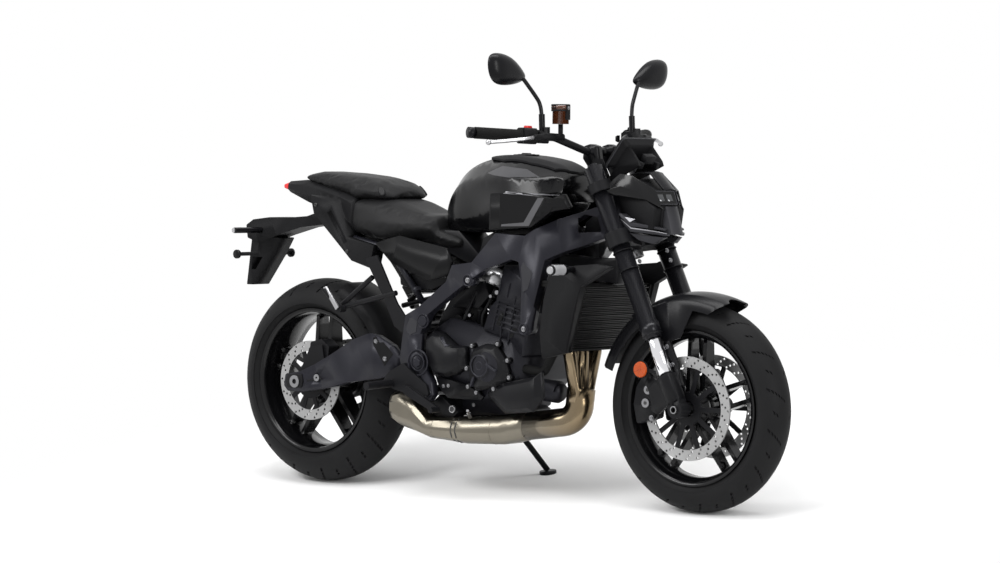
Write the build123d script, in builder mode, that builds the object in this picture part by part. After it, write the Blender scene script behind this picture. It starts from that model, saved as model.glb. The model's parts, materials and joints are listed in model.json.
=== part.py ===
"""Standard motorcycle, parked on its side stand.

Modelled upright in the motorcycle's own frame, in millimetres: +X forward, +Y left, +Z up, with the
origin on the ground half way between the axles. Each finished piece is then leaned onto the side
stand, so that the files hold the motorcycle as it parks.
"""

import os
from math import asin, atan2, cos, degrees, hypot, pi, radians, sin

from build123d import *

os.makedirs("parts", exist_ok=True)

# ---------------------------------------------------------------- stance
WHEELBASE = 1430
LEAN = 10
FLOOR_MIDDLE_X = -9
FLOOR_MIDDLE_Y = 200

# ---------------------------------------------------------------- clearances
SEAT = 0.3
RUNNING = 0.05
FREE = 5

# ---------------------------------------------------------------- wheels
FRONT_R = 300
FRONT_WIDTH = 120
FRONT_CROWN_SHARE = 0.602
REAR_R = 315
REAR_WIDTH = 180
REAR_CROWN_SHARE = 0.727
BEAD_R = 216
FLANGE_HEIGHT = 7
FLANGE_THICK = 6
FRONT_RIM_HALF = 44.5
REAR_RIM_HALF = 70
TYRE_WALL = 9
RIM_WALL = 5
WELL_DEPTH = 12
SPOKE_PAIRS = 5
SPOKE_OFFSET = 27
SPOKE_WIDTH = 13
FRONT_SPOKE_PHASE = 90
REAR_SPOKE_PHASE = 90
FRONT_HUB_R = 34
REAR_HUB_R = 46
FRONT_HUB_HALF = 56
REAR_HUB_HALF = 78
FRONT_AXLE_R = 11
REAR_AXLE_R = 12.5
AXLE_HOLE_R = 8
SPACER_R = 18
FENDER_GAP = 26

# ---------------------------------------------------------------- brakes
FRONT_DISC_R = 149
FRONT_DISC_Y = 63
REAR_DISC_R = 122.5
REAR_DISC_Y = -85.5
DISC_RING = 31
DISC_THICK = 4.5
DISC_ARMS = 10

# ---------------------------------------------------------------- chain drive
CHAIN_Y = 106
CHAIN_PITCH = 15.875
CHAIN_HALF_HEIGHT = 7
CHAIN_OUTER_WIDTH = 18
CHAIN_BAND_WIDTH = 12
REAR_TEETH = 45
FRONT_TEETH = 16
FRONT_SPROCKET = (-163, 400)
SPROCKET_THICK = 7

# ---------------------------------------------------------------- steering and fork
RAKE = 24.67
TRAIL = 108
LEG_Y = 105
OUTER_TUBE_R = 27
INNER_TUBE_R = 21
STEM_R = 17
STEM_BORE_R = 8.75
STEM_BORE_DEPTH = 18
HEAD_TUBE_R = 33
HEAD_LOW_Z = 786
HEAD_HIGH_Z = 898
LOWER_CLAMP_THICK = 44
LOWER_CLAMP_LEG_R = 37
UPPER_CLAMP_THICK = 30

# ---------------------------------------------------------------- handlebar
BAR_R = 11
BAR_MIDDLE_R = 14
BAR_RUN_START = (310, 170, 1068)
BAR_END = (203, 410, 1080)
GRIP_R = 17
GRIP_FROM = 116
GRIP_LENGTH = 140

# ---------------------------------------------------------------- frame and swingarm
SPAR_INNER_Y = 138
SPAR_OUTER_Y = 168
PIVOT_PLATE_INNER_Y = 125
PIVOT_PLATE_OUTER_Y = 158
SWING_PIVOT = (-235, 398)
ARM_INNER_Y = 118
ARM_OUTER_Y = 150
BOBBIN_X = -628
BOSS_THREAD_R = 3.4
BOSS_R = 11
BOSS_DEPTH = 16

# ---------------------------------------------------------------- side stand
STAND_PIVOT = (-150, 135, 255)
STAND_FOOT = (-48, 262, 46)
STAND_LEG_R = 9
STAND_HEAD_R = 15
STAND_HEAD_THICK = 14
STAND_BOLT_R = 6

# ---------------------------------------------------------------- fork ends, fender and calipers
AXLE_END_Y = 132
HOLDER_TOP = 104
OUTER_TUBE_LOW = 218
OUTER_TUBE_TOP = 750
CALIPER_INNER_Y = 46
CALIPER_OUTER_Y = 96
EAR_THICK = 10.5
FENDER_THICK = 2.5
FENDER_FRONT = 22
FENDER_ARC = 92
CALIPER_FROM = 140
CALIPER_TO = 198
CALIPER_INNER_R = 92
CALIPER_OUTER_R = 162

# ---------------------------------------------------------------- controls, meter and headlamp
PERCH_FROM = 26
METER_MIDDLE = (461, 0, 1022)
METER_TILT = 28
PROJECTOR_R = 34
PROJECTOR = (600, 0, 838)
PROJECTOR_FRONT = (644, 0, 832)
LAMP_OUTLINE = [(586, 888), (580, 918), (612, 914), (624, 888)]
LAMP_NEAR_Y = 44
LAMP_FAR_Y = 72

# ---------------------------------------------------------------- engine, cooling and exhaust
CASE_HALF = 118
BARREL_HALF = 122
TANK_REST = (120, 774)
HANGER_TOP = (262, 712)
HANGER_FOOT = (222, 506)
TANK_REST_R = 11
HEAD_HALF = 132
INTAKE_LOW = (66, 590)
INTAKE_HIGH = (96, 694)
CORE_HALF = 165
CORE_THICK = 30
CORE_TILT = 14.7
CASE_FRONT = ((150, 352), (158, 424))
HOSE_R = 13
HOSE_Y = -104
MUFFLER_FRONT = 140

# ---------------------------------------------------------------- tank, seat and tail
COVER_THICK = 6
SEAT_BASE_Z = 760
TAIL_FRONT_X = -520
RAIL_LOW = (-66, 125.7, 672)
RAIL_HIGH = (-525, 98.9, 757.7)
RAIL_R = 12
COWL_NEAR_Y = 149
COWL_FAR_Y = 168
HUGGER_HALF = 84

# ---------------------------------------------------------------- derived places
FENDER_R = FRONT_R + FENDER_GAP
HOLDER_INNER_Y = LEG_Y - 21
HOLDER_OUTER_Y = LEG_Y + 21
CLAMP_BOTTOM_Z = HEAD_LOW_Z - SEAT
UPPER_CLAMP_Z = HEAD_HIGH_Z + SEAT
FENDER_SIDE_Y = HOLDER_INNER_Y - EAR_THICK - SEAT
HUGGER_R = REAR_R + 12
FRONT_AXLE = (WHEELBASE / 2, 0, FRONT_R)
REAR_AXLE = (-WHEELBASE / 2, 0, REAR_R)
CROSS_REAR_X = REAR_AXLE[0] + HUGGER_R + 6
RAKE_SIN = sin(radians(RAKE))
RAKE_COS = cos(radians(RAKE))
STEER_UP = (-RAKE_SIN, 0, RAKE_COS)
STEER_FORWARD = (RAKE_COS, 0, RAKE_SIN)
STEER_GROUND_X = FRONT_AXLE[0] + TRAIL
FORK_OFFSET = (FRONT_AXLE[0] - STEER_GROUND_X) * RAKE_COS + FRONT_R * RAKE_SIN
FLANGE_R = BEAD_R + FLANGE_HEIGHT
REAR_CROWN_DROP = REAR_CROWN_SHARE * (REAR_R - FLANGE_R)
REAR_CROWN_R = ((REAR_WIDTH / 2) ** 2 + REAR_CROWN_DROP**2) / 2 / REAR_CROWN_DROP
TYRE_LIFT = REAR_CROWN_R * (1 - cos(radians(LEAN)))
PARKED = Location((-FLOOR_MIDDLE_X, -FLOOR_MIDDLE_Y, TYRE_LIFT), (-LEAN, 0, 0))


# ---------------------------------------------------------------- shared shapes
def finish(piece, name):
    """Lean a finished piece onto the stand, label it and write it."""
    parked = piece.part.moved(PARKED)
    parked.label = name
    export_step(parked, f"parts/{name}.step")


def slab(outline, y_near, y_far, corner=0, mode=Mode.ADD):
    """Plate with a side outline of (x, z) points between two distances from the middle plane."""
    with BuildSketch(Plane.XZ.offset(-y_far)) as face:
        with BuildLine():
            Polyline(*outline, close=True)
        make_face()
        if corner:
            fillet(face.vertices(), corner)
    extrude(face.sketch, amount=y_far - y_near, mode=mode)


def off_rear_axle(outline):
    """Side outline given from the rear axle, as (x, z) points in the motorcycle's own frame."""
    return [(REAR_AXLE[0] + x, REAR_R + z) for x, z in outline]


def domed_plate(outline, side, y_near, y_edge, y_far, share):
    """Cover with an (x, z) outline: straight walls first, then drawn in to a share of its size."""
    middle_x = sum(x for x, z in outline) / len(outline)
    middle_z = sum(z for x, z in outline) / len(outline)
    drawn_in = [(middle_x + (x - middle_x) * share, middle_z + (z - middle_z) * share) for x, z in outline]
    faces = []
    for points, y in ((outline, y_near), (outline, y_edge), (drawn_in, y_far)):
        with BuildSketch(Plane.XZ.offset(-side * y)) as face:
            with BuildLine():
                Polyline(*points, close=True)
            make_face()
        faces.append(face.sketch)
    loft(faces, ruled=True)


def rod(start, end, radius, mode=Mode.ADD):
    """Round bar from one point to another."""
    run = Vector(*end) - Vector(*start)
    with Locations(Plane(origin=start, z_dir=run).location):
        Cylinder(radius, run.length, align=(Align.CENTER, Align.CENTER, Align.MIN), mode=mode)


def cross_rod(x, z, radius, y_near, y_far, mode=Mode.ADD):
    """Round bar across the motorcycle, between two distances from the middle plane."""
    rod((x, y_near, z), (x, y_far, z), radius, mode)


def bent_tube(points, radius, bend, mode=Mode.ADD):
    """Round bar along straight runs joined by arcs of one bend radius."""
    with BuildLine() as route:
        FilletPolyline(*points, radius=bend)
    with BuildSketch(Plane(origin=route.line @ 0, z_dir=route.line % 0)) as section:
        Circle(radius)
    sweep(section.sketch, path=route.line, mode=mode)


def across(sections, ruled=False, mode=Mode.ADD):
    """Loft through (x, outline) stations, each outline a list of (y, z) points."""
    faces = []
    for x, outline in sections:
        with BuildSketch(Plane.YZ.offset(x)) as face:
            with BuildLine():
                Polyline(*outline, close=True)
            make_face()
        faces.append(face.sketch)
    loft(faces, ruled=ruled, mode=mode)


def rounded_outline(y, z, width, height, corner):
    """Box section round a (y, z) middle, each of its corners rounded in two flats."""
    outline = []
    for across_sign, up_sign, start in ((1, 1, 0), (-1, 1, 90), (-1, -1, 180), (1, -1, 270)):
        corner_y = y + across_sign * (width / 2 - corner)
        corner_z = z + up_sign * (height / 2 - corner)
        for turn in (start, start + 45, start + 90):
            outline.append((corner_y + corner * cos(radians(turn)), corner_z + corner * sin(radians(turn))))
    return outline


def both_halves(half):
    """Closed symmetric outline from the (y, z) points of its left half, top to bottom."""
    return half + [(-y, z) for y, z in reversed(half) if y > 0]


def on_steering(z, forward=0, side=0):
    """Point at a height on the steering axis, moved across it."""
    axis = Vector(STEER_GROUND_X - z * RAKE_SIN / RAKE_COS, 0, z)
    return axis + Vector(*STEER_FORWARD) * forward + Vector(0, side, 0)


def steering_plane(z):
    """Plane square to the steering axis at a height on it, its x forward and its y to the left."""
    return Plane(origin=on_steering(z), x_dir=STEER_FORWARD, z_dir=STEER_UP)


def on_leg(distance, side):
    """Point on a fork leg's axis, a distance up from the axle."""
    foot = Vector(FRONT_AXLE[0], side * LEG_Y, FRONT_R)
    return foot + Vector(*STEER_UP) * distance


def on_leg_xz(distance, forward):
    """Side-view point beside a fork leg's axis, a distance up from the axle."""
    point = on_leg(distance, 1) + Vector(*STEER_FORWARD) * forward
    return (point.X, point.Z)


def plane_through(low, high):
    """Plane across the motorcycle through two (x, z) points, facing back and up."""
    return Plane(origin=(low[0], 0, low[1]), z_dir=(low[1] - high[1], 0, high[0] - low[0]))


def over_wheel(forward, up):
    """Side-view point measured from the crown of the front fender, over the front axle."""
    return (FRONT_AXLE[0] + forward, FRONT_R + FENDER_R + up)


def leg_tube(low, high, radius, side, mode=Mode.ADD):
    """Round length of a fork leg between two distances up from the axle."""
    rod(tuple(on_leg(low, side)), tuple(on_leg(high, side)), radius, mode)


def bar_plane(side, distance):
    """Plane square to the straight run of the handlebar, its x forward."""
    start = Vector(BAR_RUN_START[0], side * BAR_RUN_START[1], BAR_RUN_START[2])
    end = Vector(BAR_END[0], side * BAR_END[1], BAR_END[2])
    run = (end - start).normalized()
    forward = Vector(run.Y * side, -run.X * side, 0).normalized()
    return Plane(origin=start + run * distance, x_dir=forward, z_dir=run)


def on_bar(side, distance, forward=0, up=0):
    """Point beside the straight run of the handlebar."""
    place = bar_plane(side, distance)
    return place.origin + place.x_dir * forward + Vector(0, 0, up)


def clamp_outline(plane, stem_r, leg_r):
    """Sketch of a fork clamp: a waisted plate round the stem and both legs."""
    with BuildSketch(plane) as face:
        with Locations((FORK_OFFSET, LEG_Y), (FORK_OFFSET, -LEG_Y)):
            Circle(leg_r)
        Circle(stem_r)
        with BuildLine():
            Polyline(
                (-stem_r * 0.7, stem_r * 0.7),
                (FORK_OFFSET - leg_r * 0.9, LEG_Y),
                (FORK_OFFSET + leg_r * 0.8, LEG_Y - 14),
                (stem_r * 0.9, 0),
                (FORK_OFFSET + leg_r * 0.8, 14 - LEG_Y),
                (FORK_OFFSET - leg_r * 0.9, -LEG_Y),
                (-stem_r * 0.7, -stem_r * 0.7),
                close=True,
            )
        make_face()
        with Locations((FORK_OFFSET, LEG_Y), (FORK_OFFSET, -LEG_Y)):
            Circle(OUTER_TUBE_R + SEAT / 2, mode=Mode.SUBTRACT)
    return face.sketch


def plan_cut(outline, low, high):
    """Keep what lies inside a plan outline of (x, y) points, given for the left half."""
    with BuildSketch(Plane.XY.offset(low)) as plan:
        with BuildLine():
            Polyline(*outline, *[(x, -y) for x, y in reversed(outline) if y > 0], close=True)
        make_face()
    extrude(plan.sketch, amount=high - low, mode=Mode.INTERSECT)


def around(centre, radius, angle):
    """Side-view point on a circle, at an angle up from straight ahead."""
    return (centre[0] + radius * cos(radians(angle)), centre[1] + radius * sin(radians(angle)))


def rail_ends(side):
    """Both ends of a subframe rail."""
    return (RAIL_LOW[0], side * RAIL_LOW[1], RAIL_LOW[2]), (RAIL_HIGH[0], side * RAIL_HIGH[1], RAIL_HIGH[2])


def on_rail(side, x):
    """Point on a subframe rail's axis at a distance forward."""
    low, high = rail_ends(side)
    share = (x - low[0]) / (high[0] - low[0])
    return Vector(*low) + (Vector(*high) - Vector(*low)) * share


def ground_z(y):
    """Height of the parked ground below a distance to the left, in the upright frame."""
    return (y * sin(radians(LEAN)) - TYRE_LIFT) / cos(radians(LEAN))


# ---------------------------------------------------------------- wheels
def wheel_section(axle, turn=0):
    """Plane through an axle for a section: x along the axle, y outwards, turned forward from upright."""
    return Plane(origin=axle, x_dir=(0, 1, 0), z_dir=(cos(radians(turn)), 0, -sin(radians(turn))))


def crown_points(radius, crown_r, half):
    """Corners along a tread's round crown, one of them where the leaned tyre meets the ground."""
    edge = degrees(asin(half / crown_r))
    turns = [LEAN, LEAN + (edge - LEAN) / 3, LEAN + (edge - LEAN) * 2 / 3, edge]
    centre = radius - crown_r
    right = [(crown_r * sin(radians(turn)), centre + crown_r * cos(radians(turn))) for turn in turns]
    return [(-y, z) for y, z in reversed(right)] + right


def tyre(axle, radius, width, crown_share, rim_half):
    """Hollow tyre turned about its axle, its tread one round crown."""
    half = width / 2
    drop = crown_share * (radius - FLANGE_R)
    crown_r = (half**2 + drop**2) / 2 / drop
    shoulder = radius - drop
    bead_y = rim_half - SEAT
    bead = BEAD_R + SEAT
    side = [(half - 1, (shoulder + FLANGE_R) / 2 + 4), (bead_y, FLANGE_R + 2), (bead_y, bead)]
    side += [(bead_y - TYRE_WALL, bead), (half - TYRE_WALL, shoulder - 4)]
    inner = side + [((half - TYRE_WALL) * 0.6, radius - TYRE_WALL - drop * 0.3)]
    outline = crown_points(radius, crown_r, half) + inner + [(0, radius - TYRE_WALL)]
    outline += [(-y, z) for y, z in reversed(inner)]
    with BuildSketch(wheel_section(axle)) as section:
        with BuildLine():
            Polyline(*outline, close=True)
        make_face()
    revolve(section.sketch, axis=Axis(axle, (0, 1, 0)))


def rim(axle, rim_half, hub_r, hub_half, axle_r, phase, spoke_hub_half, spoke_rim_half):
    """Cast wheel: pairs of parallel spokes between a hub and a drop-centre barrel."""
    mid_r = (hub_r + BEAD_R) / 2
    with BuildSketch(Plane(origin=axle, x_dir=(1, 0, 0), z_dir=(0, -1, 0))) as spokes:
        with PolarLocations(mid_r, SPOKE_PAIRS, start_angle=phase):
            with Locations((0, SPOKE_OFFSET), (0, -SPOKE_OFFSET)):
                Rectangle(BEAD_R - hub_r, SPOKE_WIDTH)
    extrude(spokes.sketch, amount=hub_half, both=True)
    with BuildSketch(wheel_section(axle)) as envelope:
        with BuildLine():
            Polyline(
                (-spoke_hub_half, 0),
                (-spoke_hub_half, hub_r + 10),
                (-spoke_rim_half, BEAD_R - RIM_WALL),
                (spoke_rim_half, BEAD_R - RIM_WALL),
                (spoke_hub_half, hub_r + 10),
                (spoke_hub_half, 0),
                close=True,
            )
        make_face()
    revolve(envelope.sketch, axis=Axis(axle, (0, 1, 0)), mode=Mode.INTERSECT)
    well_r = BEAD_R - WELL_DEPTH
    well_half = rim_half / 2
    lip = rim_half + FLANGE_THICK
    with BuildSketch(wheel_section(axle)) as barrel:
        with BuildLine():
            Polyline(
                (-lip, FLANGE_R),
                (-rim_half, FLANGE_R),
                (-rim_half, BEAD_R),
                (-rim_half + 14, BEAD_R),
                (-well_half, well_r),
                (well_half, well_r),
                (rim_half - 14, BEAD_R),
                (rim_half, BEAD_R),
                (rim_half, FLANGE_R),
                (lip, FLANGE_R),
                (lip, BEAD_R - RIM_WALL),
                (rim_half - 14, BEAD_R - RIM_WALL),
                (well_half - 2, well_r - RIM_WALL),
                (-well_half + 2, well_r - RIM_WALL),
                (-rim_half + 14, BEAD_R - RIM_WALL),
                (-lip, BEAD_R - RIM_WALL),
                close=True,
            )
        make_face()
    revolve(barrel.sketch, axis=Axis(axle, (0, 1, 0)))
    cross_rod(axle[0], axle[2], hub_r + SPOKE_OFFSET / 2, -spoke_hub_half, spoke_hub_half)
    cross_rod(axle[0], axle[2], hub_r, -hub_half, hub_half)
    cross_rod(axle[0], axle[2], axle_r + RUNNING, -hub_half - 1, hub_half + 1, Mode.SUBTRACT)


def disc(axle, radius, y, hub_face, mount_r, hole_r):
    """Brake disc ring on a spider bolted to the hub's face."""
    ring_in = radius - DISC_RING
    side = 1 if y > 0 else -1
    spider_out = y + side * DISC_THICK / 4
    cross_rod(axle[0], axle[2], radius, y - DISC_THICK / 2, y + DISC_THICK / 2)
    cross_rod(axle[0], axle[2], ring_in, y - DISC_THICK / 2, y + DISC_THICK / 2, Mode.SUBTRACT)
    cross_rod(axle[0], axle[2], mount_r, hub_face, spider_out)
    face = Plane(origin=(axle[0], spider_out, axle[2]), x_dir=(1, 0, 0), z_dir=(0, -side, 0))
    with BuildSketch(face) as arms:
        with PolarLocations((mount_r + ring_in) / 2, DISC_ARMS):
            Rectangle(ring_in - mount_r + 6, 14)
    extrude(arms.sketch, amount=DISC_THICK)
    cross_rod(axle[0], axle[2], hole_r, hub_face - side, spider_out + side, Mode.SUBTRACT)


with BuildPart() as front_tyre:
    tyre(FRONT_AXLE, FRONT_R, FRONT_WIDTH, FRONT_CROWN_SHARE, FRONT_RIM_HALF)
finish(front_tyre, "front_tyre")

with BuildPart() as rear_tyre:
    tyre(REAR_AXLE, REAR_R, REAR_WIDTH, REAR_CROWN_SHARE, REAR_RIM_HALF)
finish(rear_tyre, "rear_tyre")

with BuildPart() as front_rim:
    rim(
        FRONT_AXLE,
        FRONT_RIM_HALF,
        FRONT_HUB_R,
        FRONT_HUB_HALF,
        FRONT_AXLE_R,
        FRONT_SPOKE_PHASE,
        26,
        16,
    )
finish(front_rim, "front_rim")

with BuildPart() as rear_rim:
    rim(REAR_AXLE, REAR_RIM_HALF, REAR_HUB_R, REAR_HUB_HALF, REAR_AXLE_R, REAR_SPOKE_PHASE, 32, 20)
finish(rear_rim, "rear_rim")

with BuildPart() as front_discs:
    for side in (1, -1):
        disc(
            FRONT_AXLE,
            FRONT_DISC_R,
            side * FRONT_DISC_Y,
            side * FRONT_HUB_HALF,
            FRONT_HUB_R + 14,
            SPACER_R + FREE,
        )
finish(front_discs, "front_discs")

with BuildPart() as rear_disc:
    disc(REAR_AXLE, REAR_DISC_R, REAR_DISC_Y, -REAR_HUB_HALF, REAR_HUB_R + 10, SPACER_R + FREE)
finish(rear_disc, "rear_disc")

with BuildPart() as rear_sprocket:
    axle_x, axle_z = REAR_AXLE[0], REAR_AXLE[2]
    pitch_r = CHAIN_PITCH / 2 / sin(pi / REAR_TEETH)
    tip_r = pitch_r - CHAIN_HALF_HEIGHT - 1
    carrier_r = tip_r * 0.52
    plate_in = CHAIN_Y - SPROCKET_THICK / 2
    with BuildSketch(Plane.XZ.offset(-plate_in - SPROCKET_THICK)) as teeth:
        with Locations((axle_x, axle_z)):
            Circle(tip_r - 6)
            with PolarLocations(tip_r - 5, REAR_TEETH):
                Rectangle(10, 6)
            with PolarLocations(tip_r * 0.7, 5):
                RectangleRounded(22, 44, 8, mode=Mode.SUBTRACT)
    extrude(teeth.sketch, amount=SPROCKET_THICK)
    cross_rod(axle_x, axle_z, carrier_r, REAR_HUB_HALF, plate_in + SPROCKET_THICK)
    cross_rod(axle_x, axle_z, REAR_AXLE_R + RUNNING, REAR_HUB_HALF - 1, ARM_INNER_Y, Mode.SUBTRACT)
finish(rear_sprocket, "rear_sprocket")

# ---------------------------------------------------------------- front axle and fork
with BuildPart() as front_axle:
    axle_x, axle_z = FRONT_AXLE[0], FRONT_AXLE[2]
    cross_rod(axle_x, axle_z, FRONT_AXLE_R, -AXLE_END_Y, AXLE_END_Y)
    for side in (1, -1):
        cross_rod(axle_x, axle_z, SPACER_R, side * (FRONT_HUB_HALF + SEAT), side * HOLDER_INNER_Y)
    cross_rod(axle_x, axle_z, AXLE_HOLE_R, -AXLE_END_Y - 1, AXLE_END_Y + 1, Mode.SUBTRACT)
finish(front_axle, "front_axle")

with BuildPart() as fork_inner_tubes:
    for side in (1, -1):
        leg_tube(HOLDER_TOP - 34, OUTER_TUBE_LOW + 60, INNER_TUBE_R, side)
finish(fork_inner_tubes, "fork_inner_tubes")

with BuildPart() as fork_outer_tubes:
    for side in (1, -1):
        leg_tube(OUTER_TUBE_LOW, OUTER_TUBE_TOP, OUTER_TUBE_R, side)
        leg_tube(OUTER_TUBE_LOW + 6, OUTER_TUBE_LOW + 44, OUTER_TUBE_R + 2.5, side)
        leg_tube(OUTER_TUBE_LOW - 1, OUTER_TUBE_LOW + 61, INNER_TUBE_R + SEAT, side, Mode.SUBTRACT)
        leg_tube(OUTER_TUBE_TOP - 1, OUTER_TUBE_TOP + 9, 15, side)
finish(fork_outer_tubes, "fork_outer_tubes")

with BuildPart() as axle_holders:
    for side in (1, -1):
        near, far = sorted((side * HOLDER_INNER_Y, side * HOLDER_OUTER_Y))
        cross_rod(FRONT_AXLE[0], FRONT_AXLE[2], 25, near, far)
        leg_tube(24, HOLDER_TOP, INNER_TUBE_R + 6, side)
        plate = [on_leg_xz(-8, 18), on_leg_xz(30, 24), on_leg_xz(HOLDER_TOP, 24), on_leg_xz(HOLDER_TOP, -26)]
        plate += [on_leg_xz(60, -30), on_leg_xz(-8, -18)]
        slab(plate, near + 4, far - 4, 6)
        bracket = [on_leg_xz(28, -10), on_leg_xz(94, -10), on_leg_xz(104, -34), on_leg_xz(126, -58)]
        bracket += [on_leg_xz(112, -78), on_leg_xz(92, -72), on_leg_xz(50, -78), on_leg_xz(34, -88)]
        bracket += [on_leg_xz(14, -74)]
        low, high = sorted((side * (CALIPER_OUTER_Y + SEAT), side * (CALIPER_OUTER_Y + 16)))
        slab(bracket, low, high, 7)
        ear = [on_leg_xz(84, -4), on_leg_xz(84, 24), on_leg_xz(126, 34), on_leg_xz(196, 32)]
        ear += [on_leg_xz(202, 12), on_leg_xz(150, 8)]
        ear_near, ear_far = sorted((side * (HOLDER_INNER_Y - EAR_THICK), side * (HOLDER_INNER_Y - SEAT)))
        slab(ear, ear_near, ear_far, 4)
        web_near, web_far = sorted((side * (HOLDER_INNER_Y - EAR_THICK), side * (HOLDER_INNER_Y + 8)))
        web = [on_leg_xz(62, 4), on_leg_xz(62, 24), on_leg_xz(100, 26), on_leg_xz(100, 4)]
        slab(web, web_near, web_far, 3)
        leg_tube(HOLDER_TOP - 34 - SEAT, HOLDER_TOP + 1, INNER_TUBE_R + SEAT, side, Mode.SUBTRACT)
        cross_rod(FRONT_AXLE[0], FRONT_AXLE[2], FRONT_AXLE_R + RUNNING, near - 9, far + 9, Mode.SUBTRACT)
finish(axle_holders, "axle_holders")


with BuildPart() as triple_clamps:
    extrude(clamp_outline(steering_plane(CLAMP_BOTTOM_Z), 32, LOWER_CLAMP_LEG_R), amount=-LOWER_CLAMP_THICK)
    extrude(clamp_outline(steering_plane(UPPER_CLAMP_Z), 30, 35), amount=UPPER_CLAMP_THICK)
    stem_low = on_steering(CLAMP_BOTTOM_Z) - Vector(*STEER_UP) * (LOWER_CLAMP_THICK + 6)
    stem_top = on_steering(UPPER_CLAMP_Z) + Vector(*STEER_UP) * (UPPER_CLAMP_THICK + 8)
    rod(tuple(stem_low), tuple(stem_top), STEM_R)
finish(triple_clamps, "triple_clamps")

with BuildPart() as stem_nut:
    nut_top = stem_low
    nut_low = nut_top - Vector(*STEER_UP) * STEM_BORE_DEPTH
    rod(tuple(nut_low), tuple(nut_top), STEM_R - 1)
    bore_low = nut_low - Vector(*STEER_UP)
    rod(tuple(bore_low), tuple(nut_top + Vector(*STEER_UP)), STEM_BORE_R, Mode.SUBTRACT)
finish(stem_nut, "stem_nut")

# ---------------------------------------------------------------- front fender and calipers
with BuildPart() as front_fender:
    shoulder_y = FENDER_SIDE_Y - 16
    edge_r = FENDER_R - 46
    with BuildSketch(wheel_section(FRONT_AXLE, FENDER_FRONT)) as crown:
        with BuildLine():
            Line((-FENDER_SIDE_Y, edge_r), (-FENDER_SIDE_Y, FENDER_R - 20))
            Line((-FENDER_SIDE_Y, FENDER_R - 20), (-shoulder_y, FENDER_R - 3))
            ThreePointArc((-shoulder_y, FENDER_R - 3), (0, FENDER_R + 6), (shoulder_y, FENDER_R - 3))
            Line((shoulder_y, FENDER_R - 3), (FENDER_SIDE_Y, FENDER_R - 20))
            Line((FENDER_SIDE_Y, FENDER_R - 20), (FENDER_SIDE_Y, edge_r))
            Line((FENDER_SIDE_Y, edge_r), (FENDER_SIDE_Y - FENDER_THICK, edge_r))
            Line((FENDER_SIDE_Y - FENDER_THICK, edge_r), (FENDER_SIDE_Y - FENDER_THICK, FENDER_R - 21))
            Line((FENDER_SIDE_Y - FENDER_THICK, FENDER_R - 21), (shoulder_y - 1, FENDER_R - 6))
            ThreePointArc((shoulder_y - 1, FENDER_R - 6), (0, FENDER_R + 3), (1 - shoulder_y, FENDER_R - 6))
            Line((1 - shoulder_y, FENDER_R - 6), (FENDER_THICK - FENDER_SIDE_Y, FENDER_R - 21))
            Line((FENDER_THICK - FENDER_SIDE_Y, FENDER_R - 21), (FENDER_THICK - FENDER_SIDE_Y, edge_r))
            Line((FENDER_THICK - FENDER_SIDE_Y, edge_r), (-FENDER_SIDE_Y, edge_r))
        make_face()
    revolve(crown.sketch, axis=Axis(FRONT_AXLE, (0, -1, 0)), revolution_arc=FENDER_ARC)
    for side in (1, -1):
        near, far = sorted((side * (FENDER_SIDE_Y - FENDER_THICK), side * FENDER_SIDE_Y))
        wing = [over_wheel(27, -36), over_wheel(-21, -126), on_leg_xz(196, 32), on_leg_xz(130, 30)]
        wing += [on_leg_xz(126, 14), on_leg_xz(190, 10)]
        wing += [over_wheel(-155, -126), over_wheel(-195, -66), over_wheel(-75, -26)]
        slab(wing, near, far)
    nose = [over_wheel(-15, 34), over_wheel(145, 34), over_wheel(145, -66), over_wheel(124, -25)]
    nose += [over_wheel(55, 14)]
    slab(nose, -90, 90, mode=Mode.SUBTRACT)
    tip = [over_wheel(-15, -226), over_wheel(55, -66), over_wheel(124, -29), over_wheel(145, -66)]
    tip += [over_wheel(145, -226)]
    slab(tip, -90, 90, mode=Mode.SUBTRACT)
finish(front_fender, "front_fender")

with BuildPart() as front_calipers:
    for side in (1, -1):
        near, far = sorted((side * CALIPER_INNER_Y, side * CALIPER_OUTER_Y))
        outline = []
        for angle, radius in (
            (CALIPER_FROM, CALIPER_INNER_R + 10),
            (CALIPER_FROM, CALIPER_OUTER_R),
            (CALIPER_FROM + 20, CALIPER_OUTER_R + 5),
            (CALIPER_TO - 20, CALIPER_OUTER_R + 5),
            (CALIPER_TO, CALIPER_OUTER_R),
            (CALIPER_TO, CALIPER_INNER_R + 10),
            (CALIPER_TO - 18, CALIPER_INNER_R),
            (CALIPER_FROM + 18, CALIPER_INNER_R),
        ):
            x = FRONT_AXLE[0] + radius * cos(radians(angle))
            outline.append((x, FRONT_R + radius * sin(radians(angle))))
        slab(outline, near, far, 8)
        slot_half = DISC_THICK / 2 + FREE
        slot_near, slot_far = side * FRONT_DISC_Y - slot_half, side * FRONT_DISC_Y + slot_half
        cross_rod(FRONT_AXLE[0], FRONT_R, FRONT_DISC_R + FREE, slot_near, slot_far, Mode.SUBTRACT)
finish(front_calipers, "front_calipers")

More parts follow.
